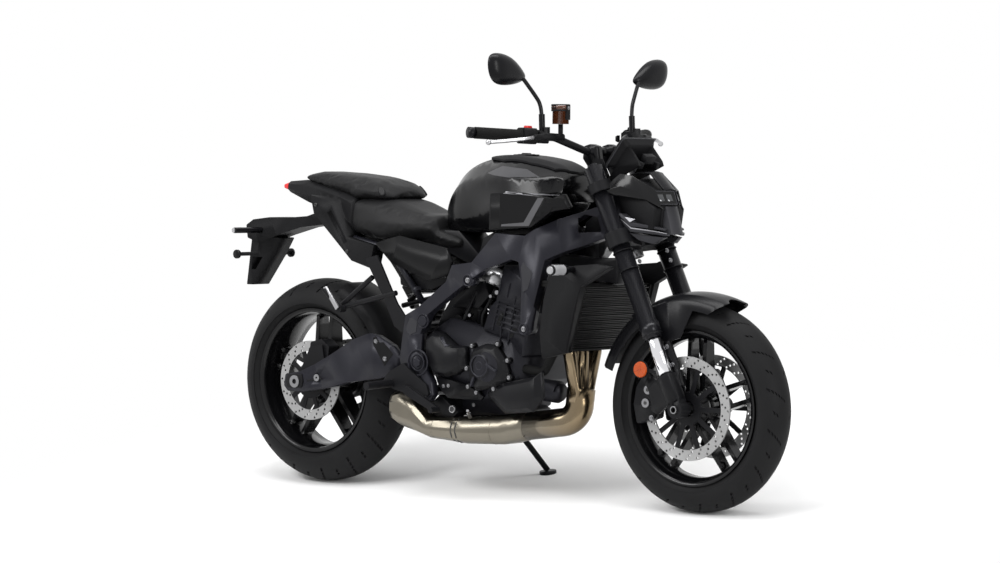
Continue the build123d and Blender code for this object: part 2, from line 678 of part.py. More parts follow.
# ---------------------------------------------------------------- handlebar and controls
bar_run = (Vector(*BAR_END) - Vector(*BAR_RUN_START)).length
clamp_foot = steering_plane(UPPER_CLAMP_Z).offset(UPPER_CLAMP_THICK)
with BuildPart() as handlebar:
    for side in (1, -1):
        near, far = sorted((side * 30, side * 56))
        block = [(326, 1008), (330, 1044), (352, 1050), (374, 1044), (380, 1008), (425, 918), (392, 900)]
        block += [(352, 975)]
        slab(block, near, far, 5)
    split(bisect_by=clamp_foot.offset(SEAT), keep=Keep.TOP)
    half = [(355, 0, 1025), (352, 70, 1028), BAR_RUN_START, BAR_END]
    route = [(x, -y, z) for x, y, z in reversed(half[1:])] + half[1:]
    bent_tube(route, BAR_R, 45)
    rod((352, -64, 1028), (352, 64, 1028), BAR_MIDDLE_R)
    for side in (1, -1):
        end = bar_plane(side, bar_run - 2)
        rod(tuple(end.origin), tuple(end.origin + end.z_dir * 16), GRIP_R - 1)
finish(handlebar, "handlebar")

with BuildPart() as grips:
    for side in (1, -1):
        rod(tuple(on_bar(side, GRIP_FROM)), tuple(on_bar(side, GRIP_FROM + GRIP_LENGTH)), GRIP_R)
        rod(tuple(on_bar(side, GRIP_FROM - 6)), tuple(on_bar(side, GRIP_FROM)), GRIP_R + 5)
        rod(tuple(on_bar(side, GRIP_FROM - 8)), tuple(on_bar(side, bar_run)), BAR_R + SEAT, Mode.SUBTRACT)
finish(grips, "grips")

with BuildPart() as switch_housings:
    for side in (1, -1):
        with BuildSketch(bar_plane(side, GRIP_FROM - 48)) as housing:
            RectangleRounded(52, 46, 12)
        extrude(housing.sketch, amount=41)
        with BuildSketch(bar_plane(side, GRIP_FROM - 30)) as pod:
            with Locations((-24, 0)):
                RectangleRounded(22, 30, 6)
        extrude(pod.sketch, amount=20)
        rod(tuple(on_bar(side, GRIP_FROM - 60)), tuple(on_bar(side, GRIP_FROM)), BAR_R + SEAT, Mode.SUBTRACT)

with BuildPart() as hand_controls:
    for side in (1, -1):
        with BuildSketch(bar_plane(side, PERCH_FROM)) as clamp:
            RectangleRounded(38, 38, 9)
            with Locations((30, 0)):
                RectangleRounded(44, 22, 6)
        extrude(clamp.sketch, amount=32)
        if side < 0:
            rod(tuple(on_bar(side, PERCH_FROM - 34, 40, 0)), tuple(on_bar(side, PERCH_FROM + 10, 40, 0)), 11)
        near = on_bar(side, PERCH_FROM + 4, 42, 0)
        rod(tuple(near), tuple(on_bar(side, PERCH_FROM + 64, 50, -4)), 9)
        mirror_foot = on_bar(side, PERCH_FROM + 12, 26, 4)
        rod(tuple(mirror_foot), tuple(mirror_foot + Vector(0, 0, 24)), 9)
        hole_from, hole_to = on_bar(side, PERCH_FROM - 8), on_bar(side, PERCH_FROM + 40)
        rod(tuple(hole_from), tuple(hole_to), BAR_R + SEAT, Mode.SUBTRACT)
    neck = on_bar(-1, PERCH_FROM - 22, 46, 4)
    rod(tuple(neck), tuple(neck + Vector(0, 0, 34)), 7)
    add(switch_housings.part)
finish(hand_controls, "hand_controls")

with BuildPart() as fluid_reservoir:
    cup_foot = neck + Vector(0, 0, 34 + SEAT)
    rod(tuple(cup_foot), tuple(cup_foot + Vector(0, 0, 42)), 24)
    rod(tuple(cup_foot + Vector(0, 0, 42)), tuple(cup_foot + Vector(0, 0, 54)), 27)
finish(fluid_reservoir, "fluid_reservoir")

with BuildPart() as levers:
    for side in (1, -1):
        points = [(PERCH_FROM + 66.6, 50, -5), (120, 66, -10), (190, 60, -20), (238, 52, -26)]
        route = [tuple(on_bar(side, along, forward, up)) for along, forward, up in points]
        bent_tube(route, 5.5, 40)
        tip = Vector(*route[-1])
        with Locations(tip):
            Sphere(8)
finish(levers, "levers")

with BuildPart() as mirrors:
    for side in (1, -1):
        foot = on_bar(side, PERCH_FROM + 12, 26, 28 + SEAT)
        stalk = [tuple(foot), (foot.X, foot.Y, 1150), (292, side * 262, 1222), (290, side * 330, 1252)]
        bent_tube(stalk, 6, 24)
        head = Plane(origin=(300, side * 353, 1267), x_dir=(0, 1, 0), z_dir=(-1, 0, side * 0.12))
        with BuildSketch(head) as back:
            RectangleRounded(86, 50, 22)
        with BuildSketch(head.offset(22)) as rimmed:
            RectangleRounded(132, 84, 34)
        with BuildSketch(head.offset(32)) as lip:
            RectangleRounded(134, 86, 35)
        loft([back.sketch, rimmed.sketch, lip.sketch], ruled=True)
        with BuildSketch(head.offset(30)) as recess:
            RectangleRounded(126, 78, 31)
        extrude(recess.sketch, amount=4, mode=Mode.SUBTRACT)
finish(mirrors, "mirrors")

with BuildPart() as mirror_glasses:
    for side in (1, -1):
        head = Plane(origin=(300, side * 353, 1267), x_dir=(0, 1, 0), z_dir=(-1, 0, side * 0.12))
        with BuildSketch(head.offset(30)) as glass:
            RectangleRounded(125.4, 77.4, 30.7)
        extrude(glass.sketch, amount=1.6)
finish(mirror_glasses, "mirror_glasses")

# ---------------------------------------------------------------- meter and headlamp
meter_plane = Plane(
    origin=METER_MIDDLE,
    x_dir=(0, 1, 0),
    z_dir=(-sin(radians(METER_TILT + 25)), 0, cos(radians(METER_TILT + 25))),
)
with BuildPart() as meter:
    for side in (1, -1):
        near, far = sorted((side * 50, side * 60))
        arm = [(416, 900), (466, 910), (457, 951), (540, 970), (528, 1002), (480, 1060), (425, 965)]
        slab(arm, near, far)
    split(bisect_by=clamp_foot.offset(SEAT), keep=Keep.TOP)
    split(bisect_by=meter_plane.offset(-12), keep=Keep.BOTTOM)
    with BuildSketch(meter_plane.offset(-13)) as back:
        RectangleRounded(130, 84, 14)
    with BuildSketch(meter_plane.offset(4)) as middle:
        RectangleRounded(155, 105, 12)
    with BuildSketch(meter_plane.offset(12)) as front:
        RectangleRounded(151, 101, 11)
    loft([back.sketch, middle.sketch, front.sketch], ruled=True)
finish(meter, "meter")


with BuildPart() as headlamp_cowl:
    side_view = [(440, 946), (462, 951), (553, 972), (604, 930), (622, 896)]
    side_view += [(636, 802), (616, 784), (560, 762), (500, 768), (470, 850)]
    slab(side_view, -150, 150)
    plan_cut([(430, 132), (500, 124), (560, 104), (620, 70), (640, 40)], 700, 1000)
    recess = [(430, 898), (520, 892), (572, 868), (588, 846), (600, 812), (500, 812), (430, 830)]
    front_of_clamp = LOWER_CLAMP_LEG_R + SEAT
    behind_legs = [on_leg_xz(900, front_of_clamp), on_leg_xz(380, front_of_clamp)]
    behind_legs += [on_leg_xz(380, -160), on_leg_xz(900, -160)]
    for side in (1, -1):
        near, far = sorted((side * 84, side * 160))
        slab(recess, near, far, mode=Mode.SUBTRACT)
        near, far = sorted((side * LAMP_NEAR_Y, side * 160))
        slab(LAMP_OUTLINE, near, far, mode=Mode.SUBTRACT)
    slab(behind_legs, -160, 160, mode=Mode.SUBTRACT)
    pocket = Vector(*PROJECTOR) + (Vector(*PROJECTOR_FRONT) - Vector(*PROJECTOR)) * 2
    rod(PROJECTOR, tuple(pocket), PROJECTOR_R + SEAT, Mode.SUBTRACT)
finish(headlamp_cowl, "headlamp_cowl")

with BuildPart() as headlamp_unit:
    rod((PROJECTOR[0] + SEAT, 0, PROJECTOR[2]), PROJECTOR_FRONT, PROJECTOR_R)
    for side in (1, -1):
        near, far = sorted((side * (LAMP_NEAR_Y + SEAT), side * LAMP_FAR_Y))
        lamp = [(x + (SEAT if x < 600 else -SEAT), z + (SEAT if z < 900 else -SEAT)) for x, z in LAMP_OUTLINE]
        slab(lamp, near, far)
finish(headlamp_unit, "headlamp_unit")

# ---------------------------------------------------------------- main frame and swingarm
STAND_AXIS = Vector(-0.134, 0.934, 0.33).normalized()
PIVOT_X, PIVOT_Z = SWING_PIVOT
with BuildPart() as main_frame:
    upper = [(-265, 535), (-215, 560), (-100, 640), (-75, 690), (0, 700), (90, 788), (200, 782), (290, 830)]
    head = [(345, 853), (420, 884), (462, 796), (400, 776), (310, 738)]
    hanger = [HANGER_TOP, HANGER_FOOT, (200, 492), (186, 520), (190, 640), (178, 706)]
    lower = [(150, 712), (50, 680), (-50, 620), (-176, 540), (-206, 482), (-208, 430), (-196, 385)]
    plate = [(-164, 338), (-158, 300), (-176, 280), (-214, 282), (-262, 330), (-286, 400), (-276, 470)]
    slab(upper + head + hanger + lower + plate, -200, 200, 5)
    outer = [(470, 36), (410, 44), (350, 78), (300, 124), (236, SPAR_OUTER_Y), (-80, SPAR_OUTER_Y)]
    outer += [(-190, PIVOT_PLATE_OUTER_Y), (-300, PIVOT_PLATE_OUTER_Y)]
    inner = [(-300, PIVOT_PLATE_INNER_Y), (-190, PIVOT_PLATE_INNER_Y), (-80, SPAR_INNER_Y)]
    inner += [(232, SPAR_INNER_Y), (288, 96), (330, 54), (390, 22), (470, 22)]
    with BuildSketch(Plane.XY.offset(200)) as plan:
        for side in (1, -1):
            with BuildLine():
                Polyline(*[(x, side * y) for x, y in outer + inner], close=True)
            make_face()
    extrude(plan.sketch, amount=800, mode=Mode.INTERSECT)
    window = [(330, 792), (318, 820), (352, 846), (384, 838), (394, 796)]
    slab(window, -90, -30, 4, Mode.SUBTRACT)
    slab(window, 30, 90, 4, Mode.SUBTRACT)
    head_low, head_high = on_steering(HEAD_LOW_Z), on_steering(HEAD_HIGH_Z)
    rod(tuple(head_low), tuple(head_high), HEAD_TUBE_R)
    beyond = Vector(*STEER_UP) * 40
    cross_rod(-246, 500, 18, -PIVOT_PLATE_INNER_Y - 4, PIVOT_PLATE_INNER_Y + 4)
    cross_rod(-214, 306, 14, -PIVOT_PLATE_INNER_Y - 4, PIVOT_PLATE_INNER_Y + 4)
    cross_rod(-40, 664, 14, -SPAR_INNER_Y - 4, SPAR_INNER_Y + 4)
    cross_rod(TANK_REST[0], TANK_REST[1], TANK_REST_R, -SPAR_INNER_Y - 4, SPAR_INNER_Y + 4)
    for side in (1, -1):
        near, far = sorted((side * PIVOT_PLATE_INNER_Y, side * (PIVOT_PLATE_OUTER_Y + 3)))
        cross_rod(PIVOT_X, PIVOT_Z, 34, near, far)
        cross_rod(200, 512, 17, *sorted((side * (BARREL_HALF + SEAT), side * (SPAR_OUTER_Y + 3))))
        cross_rod(-10, 645, 15, *sorted((side * SPAR_INNER_Y, side * (SPAR_OUTER_Y + 3))))
    rod(tuple(head_low - beyond), tuple(head_high + beyond), STEM_R + RUNNING, Mode.SUBTRACT)
    pivot = Vector(*STAND_PIVOT)
    slab([(-168, 290), (-200, 290), (-164, 246), (-140, 250), (-140, 268)], 112, 124)
    slab([(-168, 284), (-200, 284), (-190, 300), (-170, 300)], 112, 130)
    rod(tuple(pivot - STAND_AXIS * 20), tuple(pivot), STAND_HEAD_R)
    bolt_head = pivot + STAND_AXIS * (STAND_HEAD_THICK + SEAT)
    rod(tuple(pivot - STAND_AXIS * 10), tuple(bolt_head + STAND_AXIS), STAND_BOLT_R)
    rod(tuple(bolt_head), tuple(bolt_head + STAND_AXIS * 5), 10)
finish(main_frame, "main_frame")

with BuildPart() as swingarm:
    arm = [(-766, REAR_R - 15), (-760, REAR_R + 21), (-700, REAR_R + 31), (-640, REAR_R + 55), (-560, 410)]
    arm += [(-480, 454), (-420, 474), (-390, 468), (-330, 440), (-300, 402), (-304, 356), (-400, 336)]
    arm += [(-500, 322), (-600, REAR_R - 17), (-690, REAR_R - 31), (-750, REAR_R - 31)]
    for side in (1, -1):
        near, far = sorted((side * ARM_INNER_Y, side * ARM_OUTER_Y))
        slab(arm, near, far, 8)
        root_near, root_far = sorted((side * 60, side * ARM_INNER_Y))
        root = [(CROSS_REAR_X, 334), (CROSS_REAR_X, 412), (-330, 422), (-240, 418), (-240, 374), (-320, 344)]
        slab(root, root_near, root_far)
    slab([(CROSS_REAR_X, 334), (CROSS_REAR_X, 412), (-330, 422), (-310, 400), (-318, 344)], -60, 60)
    cross_rod(PIVOT_X, PIVOT_Z, 26, -PIVOT_PLATE_INNER_Y + SEAT, PIVOT_PLATE_INNER_Y - SEAT)
    cross_rod(REAR_AXLE[0], REAR_R, REAR_AXLE_R + SEAT, -ARM_OUTER_Y - 1, -ARM_INNER_Y + 1, Mode.SUBTRACT)
    cross_rod(REAR_AXLE[0], REAR_R, REAR_AXLE_R + SEAT, ARM_INNER_Y - 1, ARM_OUTER_Y + 1, Mode.SUBTRACT)
    for side in (1, -1):
        near, far = sorted((side * (ARM_OUTER_Y + 4 - BOSS_DEPTH), side * (ARM_OUTER_Y + 4)))
        cross_rod(BOBBIN_X, REAR_R + 15, BOSS_R + SEAT, near - SEAT, far + SEAT, Mode.SUBTRACT)
finish(swingarm, "swingarm")

with BuildPart() as stand_bobbins:
    for side in (1, -1):
        near, far = sorted((side * (ARM_OUTER_Y + 4 - BOSS_DEPTH), side * (ARM_OUTER_Y + 4)))
        cross_rod(BOBBIN_X, REAR_R + 15, BOSS_R, near, far)
        cross_rod(BOBBIN_X, REAR_R + 15, BOSS_THREAD_R, near - 1, far + 1, Mode.SUBTRACT)
finish(stand_bobbins, "stand_bobbins")

with BuildPart() as rear_axle:
    axle_x = REAR_AXLE[0]
    cross_rod(axle_x, REAR_R, REAR_AXLE_R, -ARM_OUTER_Y - 8, ARM_OUTER_Y + 8)
    for side in (1, -1):
        near, far = sorted((side * (ARM_OUTER_Y + SEAT), side * (ARM_OUTER_Y + 10)))
        cross_rod(axle_x, REAR_R, 19, near, far)
    cross_rod(axle_x, REAR_R, SPACER_R, -ARM_INNER_Y + SEAT, -REAR_HUB_HALF - SEAT)
    cross_rod(axle_x, REAR_R, SPACER_R, CHAIN_Y + SPROCKET_THICK / 2 + SEAT, ARM_INNER_Y - SEAT)
    cross_rod(axle_x, REAR_R, AXLE_HOLE_R, -ARM_OUTER_Y - 12, ARM_OUTER_Y + 12, Mode.SUBTRACT)
finish(rear_axle, "rear_axle")

# ---------------------------------------------------------------- drive chain
with BuildPart() as drive_chain:
    front_pitch_r = CHAIN_PITCH / 2 / sin(pi / FRONT_TEETH)
    front_x, front_z = FRONT_SPROCKET
    centre_run = hypot(front_x - REAR_AXLE[0], front_z - REAR_R)
    slope = degrees(atan2(front_z - REAR_R, front_x - REAR_AXLE[0]))
    spread = degrees(asin((pitch_r - front_pitch_r) / centre_run))
    top_angle, low_angle = slope + 90 - spread, slope - 90 + spread

    rear_centre = (REAR_AXLE[0], REAR_R)
    back_angle = slope + 180
    for offset_r in (CHAIN_HALF_HEIGHT - 2.5, 2.5 - CHAIN_HALF_HEIGHT):
        rear_r, front_r = pitch_r + offset_r, front_pitch_r + offset_r
        with BuildSketch(Plane.XZ.offset(-CHAIN_Y - CHAIN_BAND_WIDTH / 2)) as loop:
            with BuildLine():
                rear_top = around(rear_centre, rear_r, top_angle)
                rear_low = around(rear_centre, rear_r, low_angle)
                nose_top = around(FRONT_SPROCKET, front_r, top_angle)
                nose_low = around(FRONT_SPROCKET, front_r, low_angle)
                Line(rear_top, nose_top)
                ThreePointArc(nose_top, around(FRONT_SPROCKET, front_r, slope), nose_low)
                Line(nose_low, rear_low)
                ThreePointArc(rear_low, around(rear_centre, rear_r, back_angle), rear_top)
            make_face()
        band_mode = Mode.ADD if offset_r > 0 else Mode.SUBTRACT
        extrude(loop.sketch, amount=CHAIN_BAND_WIDTH, mode=band_mode)
    run = centre_run * cos(radians(spread))
    rear_wrap = radians(180 + 2 * spread)
    front_wrap = radians(180 - 2 * spread)
    loop_length = 2 * run + rear_wrap * pitch_r + front_wrap * front_pitch_r
    links = 2 * round(loop_length / CHAIN_PITCH / 2)
    step = loop_length / links
    places = []
    for link in range(0, links, 2):
        along = link * step
        if along < run:
            start = around(rear_centre, pitch_r, top_angle)
            turn = slope - spread
            place = (start[0] + along * cos(radians(turn)), start[1] + along * sin(radians(turn)))
        elif along < run + front_wrap * front_pitch_r:
            swept = degrees((along - run) / front_pitch_r)
            turn = top_angle - swept - 90
            place = around(FRONT_SPROCKET, front_pitch_r, top_angle - swept)
        elif along < 2 * run + front_wrap * front_pitch_r:
            back = along - run - front_wrap * front_pitch_r
            start = around(FRONT_SPROCKET, front_pitch_r, low_angle)
            turn = slope + spread + 180
            place = (start[0] + back * cos(radians(turn)), start[1] + back * sin(radians(turn)))
        else:
            swept = degrees((along - 2 * run - front_wrap * front_pitch_r) / pitch_r)
            turn = low_angle - swept - 90
            place = around(rear_centre, pitch_r, low_angle - swept)
        places.append((place, turn))
    half_link = CHAIN_PITCH * 0.85
    with BuildSketch(Plane.XZ.offset(-CHAIN_Y - CHAIN_OUTER_WIDTH / 2)) as plates:
        for (x, z), turn in places:
            with Locations(Location((x, z), turn)):
                Polygon(
                    (-half_link, -3),
                    (-half_link + 4, -CHAIN_HALF_HEIGHT),
                    (half_link - 4, -CHAIN_HALF_HEIGHT),
                    (half_link, -3),
                    (half_link, 3),
                    (half_link - 4, CHAIN_HALF_HEIGHT),
                    (4 - half_link, CHAIN_HALF_HEIGHT),
                    (-half_link, 3),
                )
    extrude(plates.sketch, amount=CHAIN_OUTER_WIDTH)
finish(drive_chain, "drive_chain")

# ---------------------------------------------------------------- engine
with BuildPart() as crankcase:
    case = [(-196, 486), (-120, 530), (10, 500), (112, 474), (158, 424), (150, 352), (100, 300), (-120, 292)]
    case += [(-168, 330), (-196, 392)]
    slab(case, -CASE_HALF, CASE_HALF, 10)
    sump = [(-110, 300), (-100, 258), (60, 248), (104, 272), (120, 320)]
    slab(sump, -80, 80, 6)
    rod((110, -34, 330), (226, -34, 322), 33)
    rod((226, -34, 322), (238, -34, 320.5), 26)
    chain_room = [(-230, 330), (-230, 470), (-150, 466), (-104, 440), (-100, 360), (-140, 330)]
    slab(chain_room, CHAIN_Y - CHAIN_OUTER_WIDTH / 2 - FREE, CASE_HALF + 1, mode=Mode.SUBTRACT)
finish(crankcase, "crankcase")

with BuildPart() as cylinder_block:
    barrel = [(10, 500 + SEAT), (112, 474 + SEAT), (158, 424 + SEAT), (206, 560), (70, 600), (34, 566)]
    slab(barrel, -BARREL_HALF, BARREL_HALF, 4)
    head = [INTAKE_LOW, (204, 552), (226, 610), (214, 690), INTAKE_HIGH]
    slab(head, -HEAD_HALF, HEAD_HALF, 6)
    for rib in range(5):
        z = 500 + 16 * rib
        slab([(60, z + 14), (164 + rib * 6, z - 16), (166 + rib * 6, z - 11), (60, z + 19)], -127, 127)
finish(cylinder_block, "cylinder_block")

with BuildPart() as engine_covers:
    cover_in = CASE_HALF + SEAT
    clutch = [(-202, 446), (-198, 474), (-172, 490), (-138, 486), (-86, 450), (-48, 448), (-46, 420)]
    clutch += [(-46, 388), (-80, 364), (-120, 354), (-164, 358), (-186, 380), (-198, 416)]
    domed_plate(clutch, -1, cover_in, 134, 156, 0.78)
    crank = [(-21, 443), (28, 460), (71, 455), (103, 416), (116, 381), (104, 350), (50, 330), (-9, 318)]
    crank += [(-32, 343), (-39, 391)]
    domed_plate(crank, -1, cover_in, 132, 148, 0.8)
    cross_rod(20, 395, 36, -154, -140)
    for x, z in ((-24, 452), (74, 461), (112, 414), (118, 364), (60, 328), (-6, 314), (-38, 330), (-44, 384)):
        cross_rod(x, z, 9, -136, -cover_in)
    gear = [(-163, 353), (-100, 344), (-38, 330), (-9, 318), (16, 302), (4, 292), (-120, 292), (-150, 318)]
    slab(gear, -130, -cover_in)
    belly = [(32, 304), (32, 318), (85, 346), (215, 372), (236, 388), (240, 311), (226, 293), (205, 268)]
    belly += [(165, 262), (98, 256)]
    domed_plate(belly, -1, cover_in, 126, 140, 0.72)
    alternator = [(-20, 440), (10, 466), (60, 472), (104, 446), (118, 400), (104, 352), (60, 328), (0, 334)]
    alternator += [(-26, 370)]
    domed_plate(alternator, 1, cover_in, 140, 160, 0.8)
    cross_rod(44, 400, 34, 150, 166)
    cross_rod(FRONT_SPROCKET[0] + 13, FRONT_SPROCKET[1], 44, cover_in, 140)
    slab([(-140, 360), (-140, 442), (-10, 446), (-16, 360)], cover_in, 136)
finish(engine_covers, "engine_covers")

with BuildPart() as throttle_bodies:
    for y in (-80, 0, 80):
        rod((96, y, 628), (-8, y, 668), 26)
    slab([(10, 640), (34, 634), (38, 668), (14, 676)], -112, 112)
    port_face = plane_through(INTAKE_LOW, INTAKE_HIGH)
    split(bisect_by=port_face.offset(SEAT), keep=Keep.TOP)
finish(throttle_bodies, "throttle_bodies")

# ---------------------------------------------------------------- cooling
core_plane = Plane(
    origin=(384, 0, 545),
    x_dir=(0, 1, 0),
    z_dir=(cos(radians(CORE_TILT)), 0, -sin(radians(CORE_TILT))),
)
core_up = Vector(sin(radians(CORE_TILT)), 0, cos(radians(CORE_TILT)))
with BuildPart() as radiator:
    with BuildSketch(core_plane) as core:
        Rectangle(2 * CORE_HALF, 196)
    extrude(core.sketch, amount=-CORE_THICK)
    with BuildSketch(core_plane.offset(-SEAT)) as bars:
        with GridLocations(0, 14, 1, 14):
            Rectangle(2 * CORE_HALF - 20, 3)
    extrude(bars.sketch, amount=7)
    with BuildSketch(core_plane.offset(-SEAT)) as posts:
        with Locations((-CORE_HALF + 6, 0), (CORE_HALF - 6, 0)):
            Rectangle(12, 196)
    extrude(posts.sketch, amount=9)
    for side in (1, -1):
        near, far = sorted((side * 138, side * 150))
        slab([(HANGER_TOP[0] - 30, 654), (386, 654), (380, 636), (HANGER_TOP[0] - 30, 636)], near, far)
    split(bisect_by=plane_through(HANGER_FOOT, HANGER_TOP).offset(-SEAT), keep=Keep.BOTTOM)
finish(radiator, "radiator")

with BuildPart() as radiator_shrouds:
    shroud = [(286, 430), (276, 500), (290, 600), (320, 694), (473, 707), (533, 700), (424, 642), (366, 448)]
    for side in (1, -1):
        near, far = sorted((side * (CORE_HALF + SEAT), side * 190))
        slab(shroud, near, far, 3)
finish(radiator_shrouds, "radiator_shrouds")

with BuildPart() as coolant_hose:
    case_out = plane_through(*CASE_FRONT).z_dir * -1
    port = Vector(CASE_FRONT[0][0], HOSE_Y, CASE_FRONT[0][1]) + Vector(8, 0, 72) * 0.53 + case_out * SEAT
    outlet = core_plane.offset(-CORE_THICK - SEAT)
    mouth = outlet.origin + Vector(0, HOSE_Y, 0) - core_up * 80
    route = [port, port + case_out * 72, mouth - core_plane.z_dir * 46, mouth]
    bent_tube([tuple(point) for point in route], HOSE_R, 24)
finish(coolant_hose, "coolant_hose")

# ---------------------------------------------------------------- exhaust
with BuildPart() as exhaust_pipes:
    for y in (-60, 0, 60):
        bent_tube([(222, y, 592), (272, y, 566), (286, y, 440), (290, y * 0.45 - 8, 320)], 20, 28)
    bent_tube([(290, -8, 334), (284, -16, 240), (120, -66, 217)], 42, 58)
    split(bisect_by=Plane.YZ.offset(MUFFLER_FRONT), keep=Keep.TOP)
finish(exhaust_pipes, "exhaust_pipes")

with BuildPart() as silencer:
    stations = []
    for x, y, z, width, height, corner in (
        (MUFFLER_FRONT - SEAT, -60, 219, 84, 84, 38),
        (96, -52, 211, 118, 84, 36),
        (60, -40, 203, 150, 84, 34),
        (-60, -20, 197, 236, 78, 34),
        (-190, -56, 200, 190, 60, 26),
        (-250, -92, 235, 120, 100, 34),
        (-300, -101, 251, 102, 110, 34),
        (-335, -104, 257, 90, 86, 30),
    ):
        stations.append((x, rounded_outline(y, z, width, height, corner)))
    across(stations, ruled=True)
finish(silencer, "silencer")

# ---------------------------------------------------------------- tank, seat and tail
with BuildPart() as fuel_tank:
    stations = []
    for x, low_z, low_y, side_z, side_y, brow_z, brow_y, top_z, top_y in (
        (-206, 800, 30, 815, 34, 840, 32, 862, 18),
        (-176, 786, 44, 820, 62, 880, 58, 920, 24),
        (-106, 786, 62, 830, 88, 930, 84, 978, 34),
        (-20, 786, 76, 850, 108, 940, 112, 1004, 44),
        (60, 792, 92, 870, 138, 950, 128, 1009, 56),
        (140, 800, 100, 880, 148, 950, 132, 1002, 60),
        (220, 836, 84, 896, 128, 950, 112, 986, 52),
        (276, 880, 60, 906, 88, 940, 80, 956, 40),
    ):
        half = [(top_y, top_z), (brow_y, brow_z), (side_y, side_z), (low_y, low_z)]
        stations.append((x, both_halves(half)))
    across(stations)
    rest_x, rest_top = TANK_REST[0], TANK_REST[1] + TANK_REST_R + SEAT
    foot = [(rest_x - 14, rest_top), (rest_x + 14, rest_top), (rest_x + 14, 830), (rest_x - 14, 830)]
    slab(foot, -40, 40)
finish(fuel_tank, "fuel_tank")

with BuildPart() as tank_top_cover:
    with BuildSketch(Plane.XY.offset(1009 + SEAT)) as lid:
        with BuildLine():
            lid_half = [(-30, 0), (-20, 44), (40, 62), (150, 66), (236, 50), (246, 0)]
            Polyline(*lid_half, *[(x, -y) for x, y in reversed(lid_half) if y > 0], close=True)
        make_face()
        fillet(lid.vertices(), 8)
    extrude(lid.sketch, amount=COVER_THICK)
    with Locations((70, 0, 1009 + COVER_THICK)):
        Cylinder(38, 8, align=(Align.CENTER, Align.CENTER, Align.MIN))
finish(tank_top_cover, "tank_top_cover")

with BuildPart() as rider_seat:
    stations = []
    for x, low_z, low_y, side_z, side_y, brow_z, brow_y, top_z, top_y in (
        (-118, 736, 58, 750, 76, 762, 72, 770, 46),
        (-170, 740, 64, 758, 88, 770, 82, 774, 50),
        (-206, 750, 70, 768, 94, 780, 86, 784, 44),
        (-216, 756, 74, 790, 98, 820, 84, 828, 42),
        (-266, SEAT_BASE_Z, 88, 796, 116, 824, 102, 832, 50),
        (-306, SEAT_BASE_Z, 104, 796, 130, 836, 112, 846, 60),
        (-356, SEAT_BASE_Z, 112, 798, 138, 850, 118, 866, 64),
        (-407, SEAT_BASE_Z + 2, 116, 800, 140, 860, 120, 877, 68),
        (-460, SEAT_BASE_Z + 8, 114, 804, 134, 864, 120, 878, 74),
        (TAIL_FRONT_X + SEAT, SEAT_BASE_Z + 16, 106, 806, 120, 866, 112, 880, 84),
    ):
        half = [(top_y, top_z), (brow_y, brow_z), (side_y, side_z), (low_y, low_z)]
        stations.append((x, both_halves(half)))
    across(stations, ruled=True)
finish(rider_seat, "rider_seat")

with BuildPart() as pillion_seat:
    stations = []
    for x, low_z, low_y, side_z, side_y, brow_z, brow_y, top_z, top_y in (
        (-382, 880.3, 70, 884, 78, 889, 70, 892, 44),
        (-404, 880.3, 90, 890, 100, 908, 86, 914, 46),
        (-440, 881.6, 100, 900, 112, 924, 92, 932, 52),
        (TAIL_FRONT_X, 884.3, 102, 906, 110, 934, 96, 943, 56),
        (-600, 904.3, 92, 920, 100, 942, 88, 951, 52),
        (-700, 924.3, 76, 934, 82, 948, 74, 956, 44),
        (-762, 935.3, 60, 941, 64, 946, 60, 950, 36),
    ):
        half = [(top_y, top_z), (brow_y, brow_z), (side_y, side_z), (low_y, low_z)]
        stations.append((x, both_halves(half)))
    across(stations, ruled=True)
finish(pillion_seat, "pillion_seat")

with BuildPart() as tail_cowl:
    stations = []
    for x, low_z, low_y, side_z, side_y, brow_z, brow_y, top_z, top_y in (
        (TAIL_FRONT_X, 762, 92, 802, 118, 868, 114, 884, 92),
        (-600, 812, 78, 846, 104, 890, 100, 904, 82),
        (-700, 850, 54, 880, 82, 910, 82, 924, 66),
        (-762, 866, 46, 892, 68, 920, 66, 935, 52),
        (-850, 896, 34, 906, 46, 922, 44, 930, 32),
    ):
        half = [(top_y, top_z), (brow_y, brow_z), (side_y, side_z), (low_y, low_z)]
        stations.append((x, both_halves(half)))
    across(stations, ruled=True)
    panel = [(-672, 890), (-658, 834), (-502, 692), (-430, 672), (-412, 740), (-524, 764), (-582, 870)]
    for side in (1, -1):
        near, far = sorted((side * 84, side * 136))
        slab(panel, near, far)
        slot_near, slot_far = sorted((side * 128, side * 137))
        slab([(-604, 836), (-588, 846), (-520, 750), (-536, 740)], slot_near, slot_far, mode=Mode.SUBTRACT)
        low, high = rail_ends(side)
        rod(low, high, RAIL_R + SEAT, Mode.SUBTRACT)
finish(tail_cowl, "tail_cowl")

with BuildPart() as tail_lamp:
    with BuildSketch(Plane.YZ.offset(-850 - SEAT)) as lens_root:
        with Locations((0, 914)):
            RectangleRounded(84, 26, 8)
    with BuildSketch(Plane.YZ.offset(-880)) as lens_tip:
        with Locations((0, 914)):
            RectangleRounded(60, 14, 6)
    loft([lens_root.sketch, lens_tip.sketch], ruled=True)
finish(tail_lamp, "tail_lamp")

with BuildPart() as rear_subframe:
    for side in (1, -1):
        low, high = rail_ends(side)
        rod(low, high, RAIL_R)
        rod((-214, side * 114.7, 552), (-384, side * 104, 742), 10)
    rod((-262, -122, 610), (-262, 122, 610), 10)
    rod((-366, -104, 734), (-366, 104, 734), 10)
    for side in (1, -1):
        rod((-366, side * 60, 736), (-366, side * 60, SEAT_BASE_Z - SEAT), 14)
    split(bisect_by=Plane.YZ.offset(TAIL_FRONT_X + SEAT), keep=Keep.TOP)
finish(rear_subframe, "rear_subframe")

